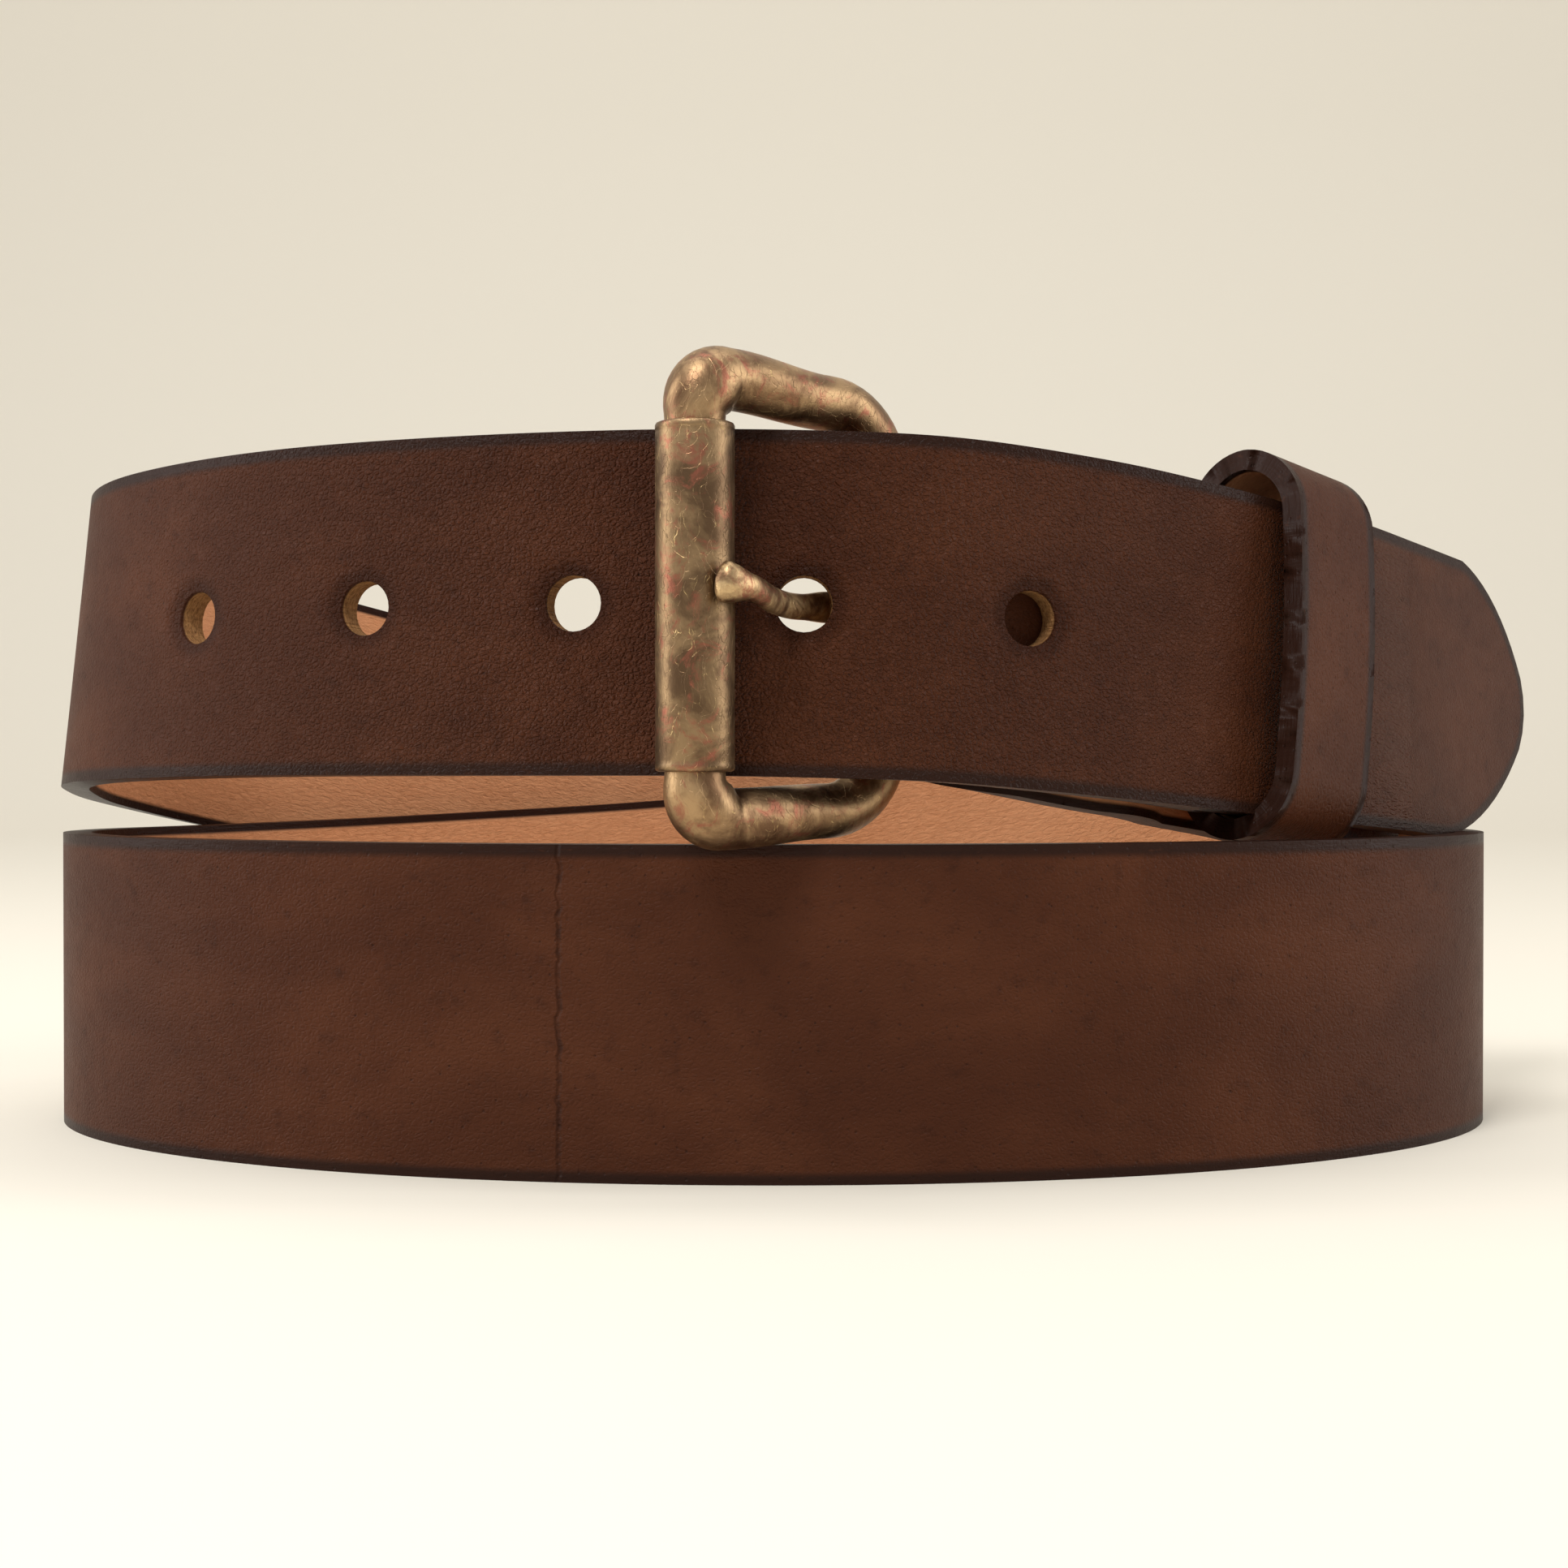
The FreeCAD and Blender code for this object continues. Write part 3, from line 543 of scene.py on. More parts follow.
@dataclass
class Coil:
    """How the strap is folded round the heel bar and coiled into two turns.

    The angle is counted clockwise from the front, one turn being 360.  Offset
    is outward in thicknesses, rise is the lower edge's height in widths, and
    lean tips the top edge inward in degrees.
    """

    width: float = 38.0
    thick: float = 3.6
    half_length: float = 93.2
    half_depth: float = 58.0
    bar_radius: float = 3.1
    clear: float = 0.35
    keeper_thick: float = 2.5
    keeper_width: float = 16.5
    keeper_place: float = 54.0
    front_screw: float = 24.0
    rear_screw: float = 91.0
    fold_length: float = 101.0
    hole_pitch: float = 25.4
    tip_length: float = 109.0
    stations: tuple[tuple[float, float, float, float], ...] = (
        (8.0, -0.24, 1.203, 1.0),
        (17.0, -0.75, 1.176, 1.5),
        (28.0, -1.75, 1.122, 2.0),
        (38.0, -2.60, 1.076, 2.5),
        (48.0, -3.40, 1.034, 3.0),
        (62.0, -3.75, 0.965, 3.5),
        (90.0, -3.20, 0.815, 4.0),
        (120.0, -2.40, 0.590, 2.0),
        (145.0, -1.90, 0.360, 1.0),
        (176.0, -1.67, 0.140, 0.0),
        (200.0, -1.67, 0.058, 0.0),
        (235.0, -1.45, 0.006, 0.0),
        (255.0, -0.80, -0.003, 0.0),
        (281.0, 0.33, -0.003, 0.0),
        (320.0, 0.17, -0.003, 0.0),
        (360.0, 0.0, -0.003, 0.0),
        (410.0, 0.0, -0.003, 0.0),
        (450.0, 0.0, -0.003, 0.0),
        (480.0, 0.0, 0.022, 0.0),
        (510.0, 0.0, 0.170, 0.0),
        (540.0, 0.0, 0.420, 0.0),
        (570.0, 0.0, 0.735, 1.5),
        (585.0, 0.05, 0.870, 2.8),
        (600.0, 0.15, 0.975, 4.0),
        (620.0, 0.15, 1.085, 5.5),
        (636.0, -0.17, 1.140, 6.0),
        (660.0, -0.17, 1.178, 5.0),
        (690.0, 0.42, 1.198, 3.0),
        (712.0, 0.96, 1.200, 1.5),
        (728.0, 1.03, 1.188, 1.0),
        (742.0, 0.20, 1.140, 1.5),
        (755.0, -1.10, 1.088, 2.0),
        (768.0, -2.10, 1.046, 2.5),
        (782.0, -2.30, 1.016, 3.0),
    )

    def __post_init__(self) -> None:
        """Work out the curves, the heel bar and the shift to the CAD's place."""
        angles = [s[0] for s in self.stations]
        self.first, self.last = angles[0], angles[-1]
        self.offset = smooth_curve(angles, [s[1] * self.thick for s in self.stations])
        self.rise = smooth_curve(angles, [s[2] * self.width for s in self.stations])
        self.lean = smooth_curve(angles, [s[3] for s in self.stations])
        self.shift = Vector()
        self.travel = [(self.first, 0.0)]
        while self.travel[-1][0] < self.last:
            here, gone = self.travel[-1]
            there = min(here + 1.0, self.last)
            self.travel.append((there, gone + (self.foot(there) - self.foot(here)).length))
        start = self.section(self.first)
        self.wrap_radius = self.bar_radius + 0.1 + self.thick / 2.0
        side = self.side(self.first)
        heel = start.middle - side * self.wrap_radius
        eye_reach = 5.08
        corner = Vector(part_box("prong")[1]) / MM
        self.shift = Vector((corner.x - eye_reach - heel.x, corner.y - eye_reach - heel.y, 0.0))
        self.heel = heel + self.shift
        near_gap = self.thick + self.clear
        back = self.thick / 2.0 + 3.5 * self.clear + self.keeper_thick
        keeper_gap = back + self.thick / 2.0 + 1.2
        self.fold_gap = smooth_curve(
            [0.0, 9.0, 19.0, 30.0, self.keeper_place - self.keeper_width / 2.0 - 2.0,
             self.keeper_place + self.keeper_width / 2.0 + 1.0,
             self.rear_screw - 5.0, self.fold_length],
            [2.0 * self.wrap_radius, 1.55 * self.wrap_radius, near_gap, near_gap,
             keeper_gap, keeper_gap, near_gap, near_gap],
        )
        self.prong_angle = 720.0
        while self.foot(self.prong_angle).x < self.heel.x - 8.9:
            self.prong_angle += 0.05

    def along(self, angle: float) -> Vector:
        """Direction of the plan curve before any offset."""
        turn = math.radians(angle)
        return Vector(
            (self.half_length * math.cos(turn), self.half_depth * math.sin(turn), 0.0)
        ).normalized()

    def foot(self, angle: float) -> Vector:
        """Middle of the leather on the strap's lower edge."""
        turn = math.radians(angle)
        along = self.along(angle)
        outward = Vector((along.y, -along.x, 0.0))
        place = Vector(
            (self.half_length * math.sin(turn), -self.half_depth * math.cos(turn), self.rise(angle))
        )
        return place + outward * self.offset(angle) + self.shift

    def heading(self, angle: float) -> Vector:
        """Direction the strap really runs at an angle."""
        low = max(angle - 0.2, self.first)
        high = min(angle + 0.2, self.last)
        return (self.foot(high) - self.foot(low)).normalized()

    def side(self, angle: float) -> Vector:
        """Level outward direction."""
        along = self.heading(angle)
        return Vector((along.y, -along.x, 0.0)).normalized()

    def tilted(self, foot: Vector, along: Vector, lean: float) -> Section:
        """Stand a section on its foot.

        Args:
            foot: middle of the leather on the lower edge.
            along: direction of travel.
            lean: degrees that the top tips inward.

        Returns:
            The section.
        """
        side = Vector((along.y, -along.x, 0.0)).normalized()
        rise = side.cross(along)
        if rise.z < 0.0:
            rise = -rise
        tip = math.radians(lean)
        return Section(
            foot + Vector((0.0, 0.0, self.width / 2.0)),
            side * math.cos(tip) + rise * math.sin(tip),
            rise * math.cos(tip) - side * math.sin(tip),
        )

    def section(self, angle: float) -> Section:
        """Section of the coiled part."""
        return self.tilted(self.foot(angle), self.heading(angle), self.lean(angle))

    def angle_after(self, distance: float) -> float:
        """Angle reached that far from the heel bar."""
        for (a0, s0), (a1, s1) in zip(self.travel, self.travel[1:]):
            if s1 >= distance:
                return a0 + (a1 - a0) * (distance - s0) / (s1 - s0)
        return self.last

    def travel_at(self, angle: float) -> float:
        """Distance from the heel bar at an angle."""
        for (a0, s0), (a1, s1) in zip(self.travel, self.travel[1:]):
            if a1 >= angle:
                return s0 + (s1 - s0) * (angle - a0) / (a1 - a0)
        return self.travel[-1][1]

    def fold_foot(self, distance: float) -> Vector:
        """Lower edge of the folded end, that far from the heel bar."""
        angle = self.angle_after(distance)
        drop = 0.045 * self.width * min(distance / 25.0, 1.0)
        inward = self.side(angle) * self.fold_gap(distance)
        return self.foot(angle) - inward - Vector((0.0, 0.0, drop))

    def route(self) -> tuple[Route, float]:
        """Lay the whole strap.

        Returns:
            The route, and the distance at which the coiled part starts.
        """
        route = Route()
        step = 1.0
        distance = self.fold_length
        while distance > 0.0:
            low = max(distance - 0.3, 0.0)
            along = (self.fold_foot(distance + 0.3) - self.fold_foot(low)).normalized()
            lean = self.lean(self.angle_after(distance)) * min(distance / 15.0, 1.0)
            section = self.tilted(self.fold_foot(distance), along, lean)
            section.out = -section.out
            route.add(section)
            distance -= step
        side = self.side(self.first)
        level = Vector((-side.y, side.x, 0.0))
        centre = self.foot(self.first) - side * self.wrap_radius
        for k in range(16):
            turn = math.pi * (1.0 - k / 16.0)
            out = side * math.cos(turn) - level * math.sin(turn)
            foot = centre + out * self.wrap_radius
            middle = foot + Vector((0.0, 0.0, self.width / 2.0))
            route.add(Section(middle, out, Vector((0.0, 0.0, 1.0))))
        started = 0.0
        count = int(self.travel[-1][1])
        for k in range(count + 1):
            angle = self.angle_after(self.travel[-1][1] * k / count)
            section = self.tilted(
                self.foot(angle), self.heading(angle), self.lean(angle) * min(k / 25.0, 1.0)
            )
            route.add(section)
            if k == 0:
                started = route.distances[-1]
        end = route.sections[-1]
        along = self.heading(self.last)
        run = self.tip_end() - self.travel[-1][1] + 1.0
        for k in range(1, 9):
            route.add(Section(end.middle + along * (run * k / 8.0), end.out, end.up))
        return route, started

    def tip_end(self) -> float:
        """Distance from the heel bar to the very tip."""
        return self.travel_at(self.prong_angle) + self.hole_pitch + self.tip_length


# ------------------------------------------------------------------ mesh helpers


def write_mesh(name: str, bm: bmesh.types.BMesh, smooth: bool = True) -> bpy.types.Object:
    """Turn a bmesh in millimetres into an object in metres.

    Args:
        name: the piece's name.
        bm: the finished bmesh, which is freed.
        smooth: whether faces are shaded smooth.

    Returns:
        The new object, already in the scene.
    """
    bmesh.ops.scale(bm, vec=(MM, MM, MM), verts=bm.verts)
    mesh = bpy.data.meshes.new(name)
    bm.to_mesh(mesh)
    bm.free()
    if smooth:
        mesh.polygons.foreach_set("use_smooth", [True] * len(mesh.polygons))
    piece = bpy.data.objects.new(name, mesh)
    bpy.context.scene.collection.objects.link(piece)
    LOG.info("%s: %d faces", name, len(mesh.polygons))
    return piece


def dress(piece: bpy.types.Object, material: bpy.types.Material) -> None:
    """Give a piece its one material."""
    piece.data.materials.clear()
    piece.data.materials.append(material)


def sweep(
    bm: bmesh.types.BMesh,
    rings: Sequence[tuple[Vector, Vector, Vector, float, float]],
    segments: int,
    closed: bool,
) -> None:
    """Skin a run of elliptical rings.

    Args:
        bm: the bmesh to add to.
        rings: each ring's middle, direction, upright, and half sizes along the
            upright and across it.
        segments: corners of a ring.
        closed: whether the last ring joins the first.
    """
    loops: list[list[bmesh.types.BMEdge]] = []
    for middle, direction, upright, tall, across in rings:
        forward = direction.normalized()
        up = (upright - forward * upright.dot(forward)).normalized()
        sideways = forward.cross(up)
        turn = Matrix((
            (up.x * tall, sideways.x * across, forward.x, middle.x),
            (up.y * tall, sideways.y * across, forward.y, middle.y),
            (up.z * tall, sideways.z * across, forward.z, middle.z),
            (0.0, 0.0, 0.0, 1.0),
        ))
        made = bmesh.ops.create_circle(bm, segments=segments, radius=1.0, cap_ends=False, matrix=turn)
        corners = made["verts"]
        loops.append(list({edge for corner in corners for edge in corner.link_edges}))
    pairs = list(zip(loops, loops[1:]))
    if closed:
        pairs.append((loops[-1], loops[0]))
    for first, second in pairs:
        bmesh.ops.bridge_loops(bm, edges=first + second)
    if not closed:
        bmesh.ops.holes_fill(bm, edges=loops[0] + loops[-1], sides=0)
    bmesh.ops.recalc_face_normals(bm, faces=bm.faces)


def turned(
    profile: Sequence[tuple[float, float]], steps: int, place: Matrix, closed: bool
) -> bmesh.types.BMesh:
    """Spin a profile about Z.

    Args:
        profile: radius and height of each corner.
        steps: how many faces go round.
        place: where the finished turning stands.
        closed: whether the profile is a closed loop.

    Returns:
        A new bmesh.
    """
    bm = bmesh.new()
    corners = [bm.verts.new((radius, 0.0, height)) for radius, height in profile]
    for a, b in zip(corners, corners[1:]):
        bm.edges.new((a, b))
    if closed:
        bm.edges.new((corners[-1], corners[0]))
    bmesh.ops.spin(
        bm, geom=bm.verts[:] + bm.edges[:], cent=(0, 0, 0), axis=(0, 0, 1), dvec=(0, 0, 0),
        angle=math.tau, steps=steps, use_merge=True,
    )
    bmesh.ops.remove_doubles(bm, verts=bm.verts, dist=1e-4)
    bmesh.ops.recalc_face_normals(bm, faces=bm.faces)
    bmesh.ops.transform(bm, matrix=place, verts=bm.verts)
    return bm


def arc_point(a: Vector, b: Vector, c: Vector, t: float) -> Vector:
    """Point at a fraction of the flat arc from a through b to c."""
    d = 2.0 * (a.x * (b.y - c.y) + b.x * (c.y - a.y) + c.x * (a.y - b.y))
    aa, bb, cc = a.length_squared, b.length_squared, c.length_squared
    centre = Vector((
        (aa * (b.y - c.y) + bb * (c.y - a.y) + cc * (a.y - b.y)) / d,
        (aa * (c.x - b.x) + bb * (a.x - c.x) + cc * (b.x - a.x)) / d,
    ))
    start = math.atan2(a.y - centre.y, a.x - centre.x)
    end = math.atan2(c.y - centre.y, c.x - centre.x)
    turn = (end - start + math.pi) % math.tau - math.pi
    radius = (a - centre).length
    angle = start + turn * t
    return centre + Vector((math.cos(angle), math.sin(angle))) * radius


# ------------------------------------------------------------------ leather bands


@dataclass
class Punch:
    """A round or oblong hole in the flat leather."""

    at: float
    radius: float
    half_run: float = 0.0
    cells_along: int = 8
    cells_across: int = 8

    def edge_point(self, x: float, y: float, grow: float) -> tuple[float, float]:
        """Nearest point of the outline, grown by a distance.

        Args:
            x: place along the leather from the hole's middle.
            y: place across.
            grow: distance outside the hole's own edge.

        Returns:
            The point on the outline.
        """
        centre = min(max(x, -self.half_run), self.half_run)
        away = Vector((x - centre, y))
        if away.length < 1e-6:
            away = Vector((0.0, 1.0))
        away.normalize()
        reach = self.radius + grow
        return centre + away.x * reach, away.y * reach

    def distance(self, x: float, y: float) -> float:
        """Distance outside the hole's wall."""
        centre = min(max(x, -self.half_run), self.half_run)
        return Vector((x - centre, y)).length - self.radius


@dataclass
class Blank:
    """Flat leather, cut, punched and bevelled before it is bent."""

    length: float
    width: float
    thick: float
    cell: float
    rows: int
    anchor: float = 0.0
    bevel: float = 1.1
    bevel_steps: int = 4
    punches: list[Punch] = field(default_factory=list)
    point: float = 0.0
    skew: tuple[float, float] = (0.0, 0.0)
    dish: float = 0.42
    waist: float = 0.0
    waist_at: float = 0.0
    waist_reach: float = 14.0

    def outline(self, v: float) -> Vector:
        """Point of the pointed end, from one shoulder (-1) to the other (1)."""
        half = self.width / 2.0
        shoulder = Vector((-self.point, half))
        belly = Vector((-0.44 * self.point, 0.716 * half))
        nose_side = Vector((-0.055 * self.point, 0.26 * half))
        sign = 1.0 if v >= 0.0 else -1.0
        part = abs(v)
        if part < 0.16:
            low = Vector((nose_side.x, -nose_side.y))
            spot = arc_point(low, Vector((0.0, 0.0)), nose_side, 0.5 + 0.5 * part / 0.16)
        else:
            spot = arc_point(nose_side, belly, shoulder, (part - 0.16) / 0.84)
        lead = self.skew[0] * v if v > 0.0 else self.skew[1] * v
        return Vector((spot.x + lead, spot.y * sign))

    def rim_distance(self, x: float, y: float) -> float:
        """Distance inside the cut edge, roughly, in millimetres."""
        half = self.width / 2.0
        sides = min(half - abs(y), x)
        if self.point <= 0.0:
            return min(sides, self.length - x)
        if x < self.length - self.point - 4.0:
            return sides
        spot = Vector((x - self.length, y))
        nearest = min((self.outline(k / 24.0) - spot).length for k in range(-24, 25))
        return min(sides, nearest)

    def cut(self) -> bmesh.types.BMesh:
        """Cut the flat sheet, with its holes and its pointed end.

        Returns:
            A bmesh of one layer of faces at height zero.
        """
        before = self.anchor
        columns_before = max(int(round(before / self.cell)), 1)
        columns_after = max(int(round((self.length - before) / self.cell)), 1)
        columns = columns_before + columns_after
        bm = bmesh.new()
        bmesh.ops.create_grid(bm, x_segments=columns, y_segments=self.rows, size=1.0)
        step_before = before / columns_before if before > 0.0 else 0.0
        step_after = (self.length - before) / columns_after
        for vert in bm.verts:
            column = (vert.co.x + 1.0) * 0.5 * columns
            if column < columns_before:
                vert.co.x = column * step_before
            else:
                vert.co.x = before + (column - columns_before) * step_after
            vert.co.y *= self.width / 2.0
        for punch in self.punches:
            self.punch(bm, punch)
        if self.point > 0.0:
            start = self.length - self.point - 6.0
            for vert in bm.verts:
                if vert.co.x > start + 1e-6:
                    v = vert.co.y / (self.width / 2.0)
                    t = (vert.co.x - start) / (self.length - start)
                    end = self.outline(v)
                    vert.co.x = start + (self.length + end.x - start) * t
                    vert.co.y += (end.y - vert.co.y) * t
        return bm

    def punch(self, bm: bmesh.types.BMesh, hole: Punch) -> None:
        """Open one hole and ring it with finer faces."""
        half_along = hole.cells_along * self.cell / 2.0 + self.cell * 0.05
        half_across = hole.cells_across * self.width / self.rows / 2.0 + 0.05
        inside = []
        for face in bm.faces:
            middle = face.calc_center_median()
            if abs(middle.x - hole.at) < half_along and abs(middle.y) < half_across:
                inside.append(face)
        border = [
            edge for edge in {e for f in inside for e in f.edges}
            if sum(1 for f in edge.link_faces if f in set(inside)) == 1
        ]
        bmesh.ops.delete(bm, geom=inside, context="FACES")
        border = [edge for edge in border if edge.is_valid]
        for grow in (2.3, 1.5, 0.95, 0.5, 0.22, 0.0):
            made = bmesh.ops.extrude_edge_only(bm, edges=border)
            corners = [g for g in made["geom"] if isinstance(g, bmesh.types.BMVert)]
            border = [g for g in made["geom"] if isinstance(g, bmesh.types.BMEdge)]
            for corner in corners:
                x, y = hole.edge_point(corner.co.x - hole.at, corner.co.y, grow)
                corner.co.x = hole.at + x
                corner.co.y = y
            ring = set(corners)
            border = [e for e in border if e.verts[0] in ring and e.verts[1] in ring]

    def solid(self) -> bmesh.types.BMesh:
        """Give the sheet its thickness, rounded edges and dished holes.

        Returns:
            A closed bmesh in the flat state, with flat_place, rim and bore
            layers on its corners.
        """
        bm = self.cut()
        bmesh.ops.translate(bm, vec=(0.0, 0.0, self.thick / 2.0), verts=bm.verts)
        made = bmesh.ops.extrude_face_region(bm, geom=bm.faces[:], use_keep_orig=True)
        lower = [g for g in made["geom"] if isinstance(g, bmesh.types.BMVert)]
        bmesh.ops.translate(bm, vec=(0.0, 0.0, -self.thick), verts=lower)
        bmesh.ops.recalc_face_normals(bm, faces=bm.faces)
        outside, around = [], []
        for edge in bm.edges:
            if len(edge.link_faces) != 2:
                continue
            first, second = edge.link_faces
            if abs(abs(first.normal.z) - abs(second.normal.z)) < 0.5:
                continue
            middle = (edge.verts[0].co + edge.verts[1].co) / 2.0
            nearest = min(
                (abs(p.distance(middle.x - p.at, middle.y)) for p in self.punches), default=99.0
            )
            (around if nearest < 0.3 else outside).append(edge)
        bmesh.ops.bevel(
            bm, geom=outside, offset=self.bevel, offset_type="OFFSET", segments=self.bevel_steps,
            profile=0.5, affect="EDGES", material=-1, clamp_overlap=True,
        )
        around = [edge for edge in around if edge.is_valid]
        if around:
            bmesh.ops.bevel(
                bm, geom=around, offset=0.2, offset_type="OFFSET", segments=2,
                profile=0.5, affect="EDGES", material=-1, clamp_overlap=True,
            )
        self.mark(bm)
        return bm

    def mark(self, bm: bmesh.types.BMesh) -> None:
        """Store each corner's flat place and its distances, and dish the holes."""
        place = bm.verts.layers.float_vector.new("flat_place")
        rim = bm.verts.layers.float.new("rim")
        bore = bm.verts.layers.float.new("bore")
        for vert in bm.verts:
            x, y = vert.co.x, vert.co.y
            vert[place] = vert.co
            vert[rim] = max(self.rim_distance(x, y), 0.0)
            nearest = min((p.distance(x - p.at, y) for p in self.punches), default=50.0)
            vert[bore] = max(nearest, 0.0)
            if nearest < 5.0:
                sink = self.dish * math.exp(-((max(nearest, 0.0) / 1.15) ** 2))
                lip = 0.10 * math.exp(-(((nearest - 2.6) / 1.0) ** 2))
                if vert.co.z > 0.0:
                    vert.co.z += lip - sink * min(1.0, vert.co.z / (self.thick / 2.0))
                else:
                    vert.co.z -= 0.3 * sink

    def bent(self, name: str, route: Route, start: float) -> bpy.types.Object:
        """Bend the finished blank along a route.

        Args:
            name: the piece's name.
            route: where the leather lies.
            start: route distance of the blank's beginning.

        Returns:
            The bent piece.
        """
        bm = self.solid()
        for vert in bm.verts:
            section = route.at(start + vert.co.x)
            reach = (vert.co.x - self.waist_at) / self.waist_reach
            nip = self.waist * math.exp(-(reach**4))
            vert.co = section.place(vert.co.y * (1.0 - nip), vert.co.z)
        bmesh.ops.recalc_face_normals(bm, faces=bm.faces)
        if bm.calc_volume(signed=True) < 0.0:
            bmesh.ops.reverse_faces(bm, faces=bm.faces)
        return write_mesh(name, bm)


class Strap:
    """The belt's long strap, from its folded end to its tip."""

    def __init__(self, coil: Coil) -> None:
        """Lay the route."""
        self.coil = coil
        self.route, self.started = coil.route()
        self.route.soften(7)
        self.prong_at = self.started + coil.travel_at(coil.prong_angle)

    def build(self) -> bpy.types.Object:
        """Cut, bend and dress the strap."""
        coil = self.coil
        pitch = coil.hole_pitch
        punches = [Punch(self.prong_at + k * pitch, 3.12) for k in (-3, -2, -1, 0, 1)]
        wrap_middle = self.started - math.pi * coil.wrap_radius / 2.0
        cell = pitch / 16.0
        snapped = self.prong_at + round((wrap_middle - self.prong_at) / cell) * cell
        punches.append(Punch(snapped, 3.8, half_run=13.5, cells_along=26, cells_across=8))
        total = self.started + coil.tip_end()
        blank = Blank(
            length=total, width=coil.width, thick=coil.thick, cell=cell, rows=24,
            anchor=self.prong_at, punches=punches, point=25.0, skew=(2.6, 4.2),
            waist=0.085, waist_at=wrap_middle,
        )
        piece = blank.bent("belt_strap", self.route, 0.0)
        crease = self.started + coil.travel_at(345.0)
        dress(piece, BridleLeather(
            pebble_middle=self.prong_at, pebble_reach=110.0, crease_at=crease
        ).build())
        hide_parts("strap")
        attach(piece, "strap")
        LOG.info("strap is %.0f mm long laid flat", total)
        return piece


class Keeper:
    """The leather loop that holds the strap's end down."""

    def __init__(self, coil: Coil) -> None:
        """Find the keeper's place on the strap."""
        self.coil = coil
        angle = coil.angle_after(coil.keeper_place)
        here = coil.section(angle)
        over = coil.section(min(angle + 720.0, coil.last))
        gap = (over.middle - here.middle).dot(here.out)
        foot = here.middle - Vector((0.0, 0.0, coil.width / 2.0))
        level = coil.tilted(foot, coil.heading(angle), 3.0)
        self.out, self.up = level.out, level.up
        self.along = coil.heading(angle)
        self.front = gap + coil.thick / 2.0 + 3.5 * coil.clear
        self.back = coil.thick / 2.0 + 3.5 * coil.clear
        self.middle = level.middle + self.up * 1.4
        self.tall = 42.6
        self.wall = coil.keeper_thick

    def route(self) -> Route:
        """Go round the loop, from the join at the back, down and round the front."""
        half_wall = self.wall / 2.0
        half_tall = self.tall / 2.0 + half_wall
        near = self.front + half_wall
        far = -self.back - half_wall
        round_off = 6.6
        corners = [
            (far, 0.0), (far, -half_tall), (near, -half_tall), (near, half_tall), (far, half_tall),
            (far, 0.0),
        ]
        points: list[tuple[float, float]] = [corners[0]]
        for k in range(1, 5):
            spot = Vector(corners[k])
            before = (Vector(corners[k - 1]) - spot).normalized()
            after = (Vector(corners[k + 1]) - spot).normalized()
            centre = spot + (before + after) * round_off
            for j in range(13):
                t = math.pi / 2.0 * j / 12.0
                offset = -after * math.cos(t) - before * math.sin(t)
                points.append(tuple(centre + offset * round_off))
        points.append(corners[-1])
        dense = [points[0]]
        for a, b in zip(points, points[1:]):
            run = (Vector(b) - Vector(a)).length
            count = max(int(run / 1.2), 1)
            for j in range(1, count + 1):
                dense.append(tuple(Vector(a).lerp(Vector(b), j / count)))
        route = Route()
        for k, (n, h) in enumerate(dense):
            low = Vector(dense[max(k - 1, 0)])
            high = Vector(dense[min(k + 1, len(dense) - 1)])
            heading = (high - low).normalized()
            out2 = Vector((heading.y, -heading.x))
            bow = math.cos(math.pi * h / (2.0 * half_tall))
            bulge = 1.1 * bow * min(max((n - near + 6.6) / 6.6, 0.0), 1.0)
            spot = self.middle + self.out * (n + bulge) + self.up * h
            out = (self.out * out2.x + self.up * out2.y).normalized()
            route.add(Section(spot, out, self.along))
        return route

    def build(self) -> bpy.types.Object:
        """Cut, bend and dress the keeper."""
        route = self.route()
        total = route.distances[-1]
        blank = Blank(
            length=total - 0.5, width=self.coil.keeper_width, thick=self.wall, cell=0.9, rows=14,
            bevel=0.55, bevel_steps=3,
        )
        piece = blank.bent("belt_keeper", route, 0.25)
        dress(piece, BridleLeather(
            name="keeper_leather", thickness=self.wall, pebble_middle=0.0, pebble_reach=16.0
        ).build())
        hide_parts("keeper")
        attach(piece, "strap")
        return piece


# ------------------------------------------------------------------ buckle


class Corner(Enum):
    """Which end of the frame a corner belongs to."""

    ROLLER = "roller"
    HEEL = "heel"


